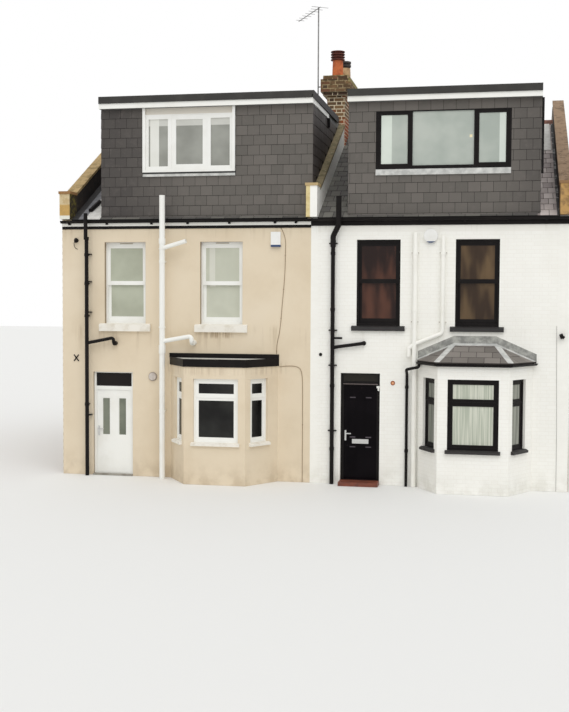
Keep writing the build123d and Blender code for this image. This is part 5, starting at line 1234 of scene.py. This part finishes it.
# A ring of clay pipe shows by the right door, where a vent was cut through the wall. Its bore
# is filled with paler mortar.
RING_X, RING_Z, RING_R, RING_THICK = 1.676, 2.101, 0.034, 0.012
FILL_R, FILL_MARK = 0.030, 0.020
ring = hoop(RING_R, RING_THICK, (28, 10), (RING_X, -0.004, RING_Z))
fill = disc((RING_X, -0.003, RING_Z), FILL_R, 0.008, 0.002)
ring_clay = Paint("ring_clay")
mark = ((RING_X - FILL_MARK, None, RING_Z - FILL_MARK), (RING_X + FILL_MARK, None, RING_Z + FILL_MARK))
color = ring_clay.mix(ring_clay.zone(*mark, 0.006), tint(142, 76, 38), tint(232, 172, 128))
fired_ring = ring_clay.finish(color, 0.8, ring_clay.noise(60, 3), 0.3, 0.001)
gather("clay_ring", [ring, fill], fired_ring)

# A small round vent cap of black plastic is pushed into its hole near the middle of the pair.
# It has a wide rim and a raised middle.
CAP_X, CAP_Z = 0.183, 2.662
cap_parts = [disc((CAP_X, -0.008, CAP_Z), 0.034, 0.016), disc((CAP_X, -0.014, CAP_Z), 0.020, 0.016)]
gather("vent_cap", cap_parts, black_plastic)

# A white catch is screwed to the right door's frame at the closing edge, a wide block with a
# narrower one below it.
catch_parts = [
    eased((1.340, 0.048, 1.984), (1.402, 0.061, 2.030), 0.004),
    eased((1.362, 0.048, 1.930), (1.396, 0.061, 1.988)),
]
gather("door_catch", catch_parts, white_plastic)

# A weather bar is nailed across the head of the right door, to throw the drips clear of the leaf. Its grey
# is a painted highlight where its top catches the sky.
drip_bar = eased((0.650, 0.050, 2.056), (1.366, 0.061, 2.070))
drip_highlight = plastic("drip_bar_painted_highlight", tint(112, 100, 98), tint(78, 70, 68), 0.4, 0.5)
gather("door_drip_bar", [drip_bar], drip_highlight)

# Each sash window of the left house has a trickle vent screwed across its head: a grey-white
# plastic hood with a raised lip.
VENT_CENTRES = (-4.042, -1.931)
HOOD_HALF, LIP_HALF = 0.145, 0.135
hoods = []
for x in VENT_CENTRES:
    hoods.append(eased((x - HOOD_HALF, 0.092, 4.948), (x + HOOD_HALF, 0.102, 4.972), 0.003))
    hoods.append(eased((x - LIP_HALF, 0.086, 4.955), (x + LIP_HALF, 0.096, 4.962), 0.002))
vent_grey = plastic("vent_plastic", tint(198, 192, 178), tint(170, 164, 150), 0.4, 0.4)
gather("trickle_vents", hoods, vent_grey)

# A black plastic pipe takes the overflow from beside the left dormer, bent to lie along the
# slope.
OVERFLOW = ((-4.914, 0.260, 5.682), (-4.889, 0.470, 5.795), (-4.863, 0.688, 5.911))
gather("dormer_overflow", [wire(OVERFLOW, 0.045)], black_plastic)

# The round alarm box has a raised ring round the face of its cover, moulded with it. Its grey is a painted
# shade line round the cover's edge.
RIM_X, RIM_Z, RIM_R, RIM_THICK = 2.415, 5.079, 0.138, 0.004
rim_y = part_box("alarm_boxes")[0].y + RIM_THICK
rim = hoop(RIM_R, RIM_THICK, (40, 8), (RIM_X, rim_y, RIM_Z))
rim_painted_shade = plastic("alarm_rim", tint(190, 190, 184), tint(150, 148, 142), 0.4, 0.4)
gather("alarm_rim", [rim], rim_painted_shade)

# An upright strip of black plastic covers the corner of the right dormer, nailed over the ends of the
# slates. Its black is partly the trim and partly a painted shadow in the gap at the corner.
trim = eased((4.551, 0.058, 6.30), (4.600, 0.110, SOFFIT - 0.004), 0.004)
gather("dormer_corner_trim_and_shadow", [trim], black_plastic)

# The single brick and the single slate were only there to be copied.
for unit in (brick_unit, slate_unit):
    bpy.data.objects.remove(unit)
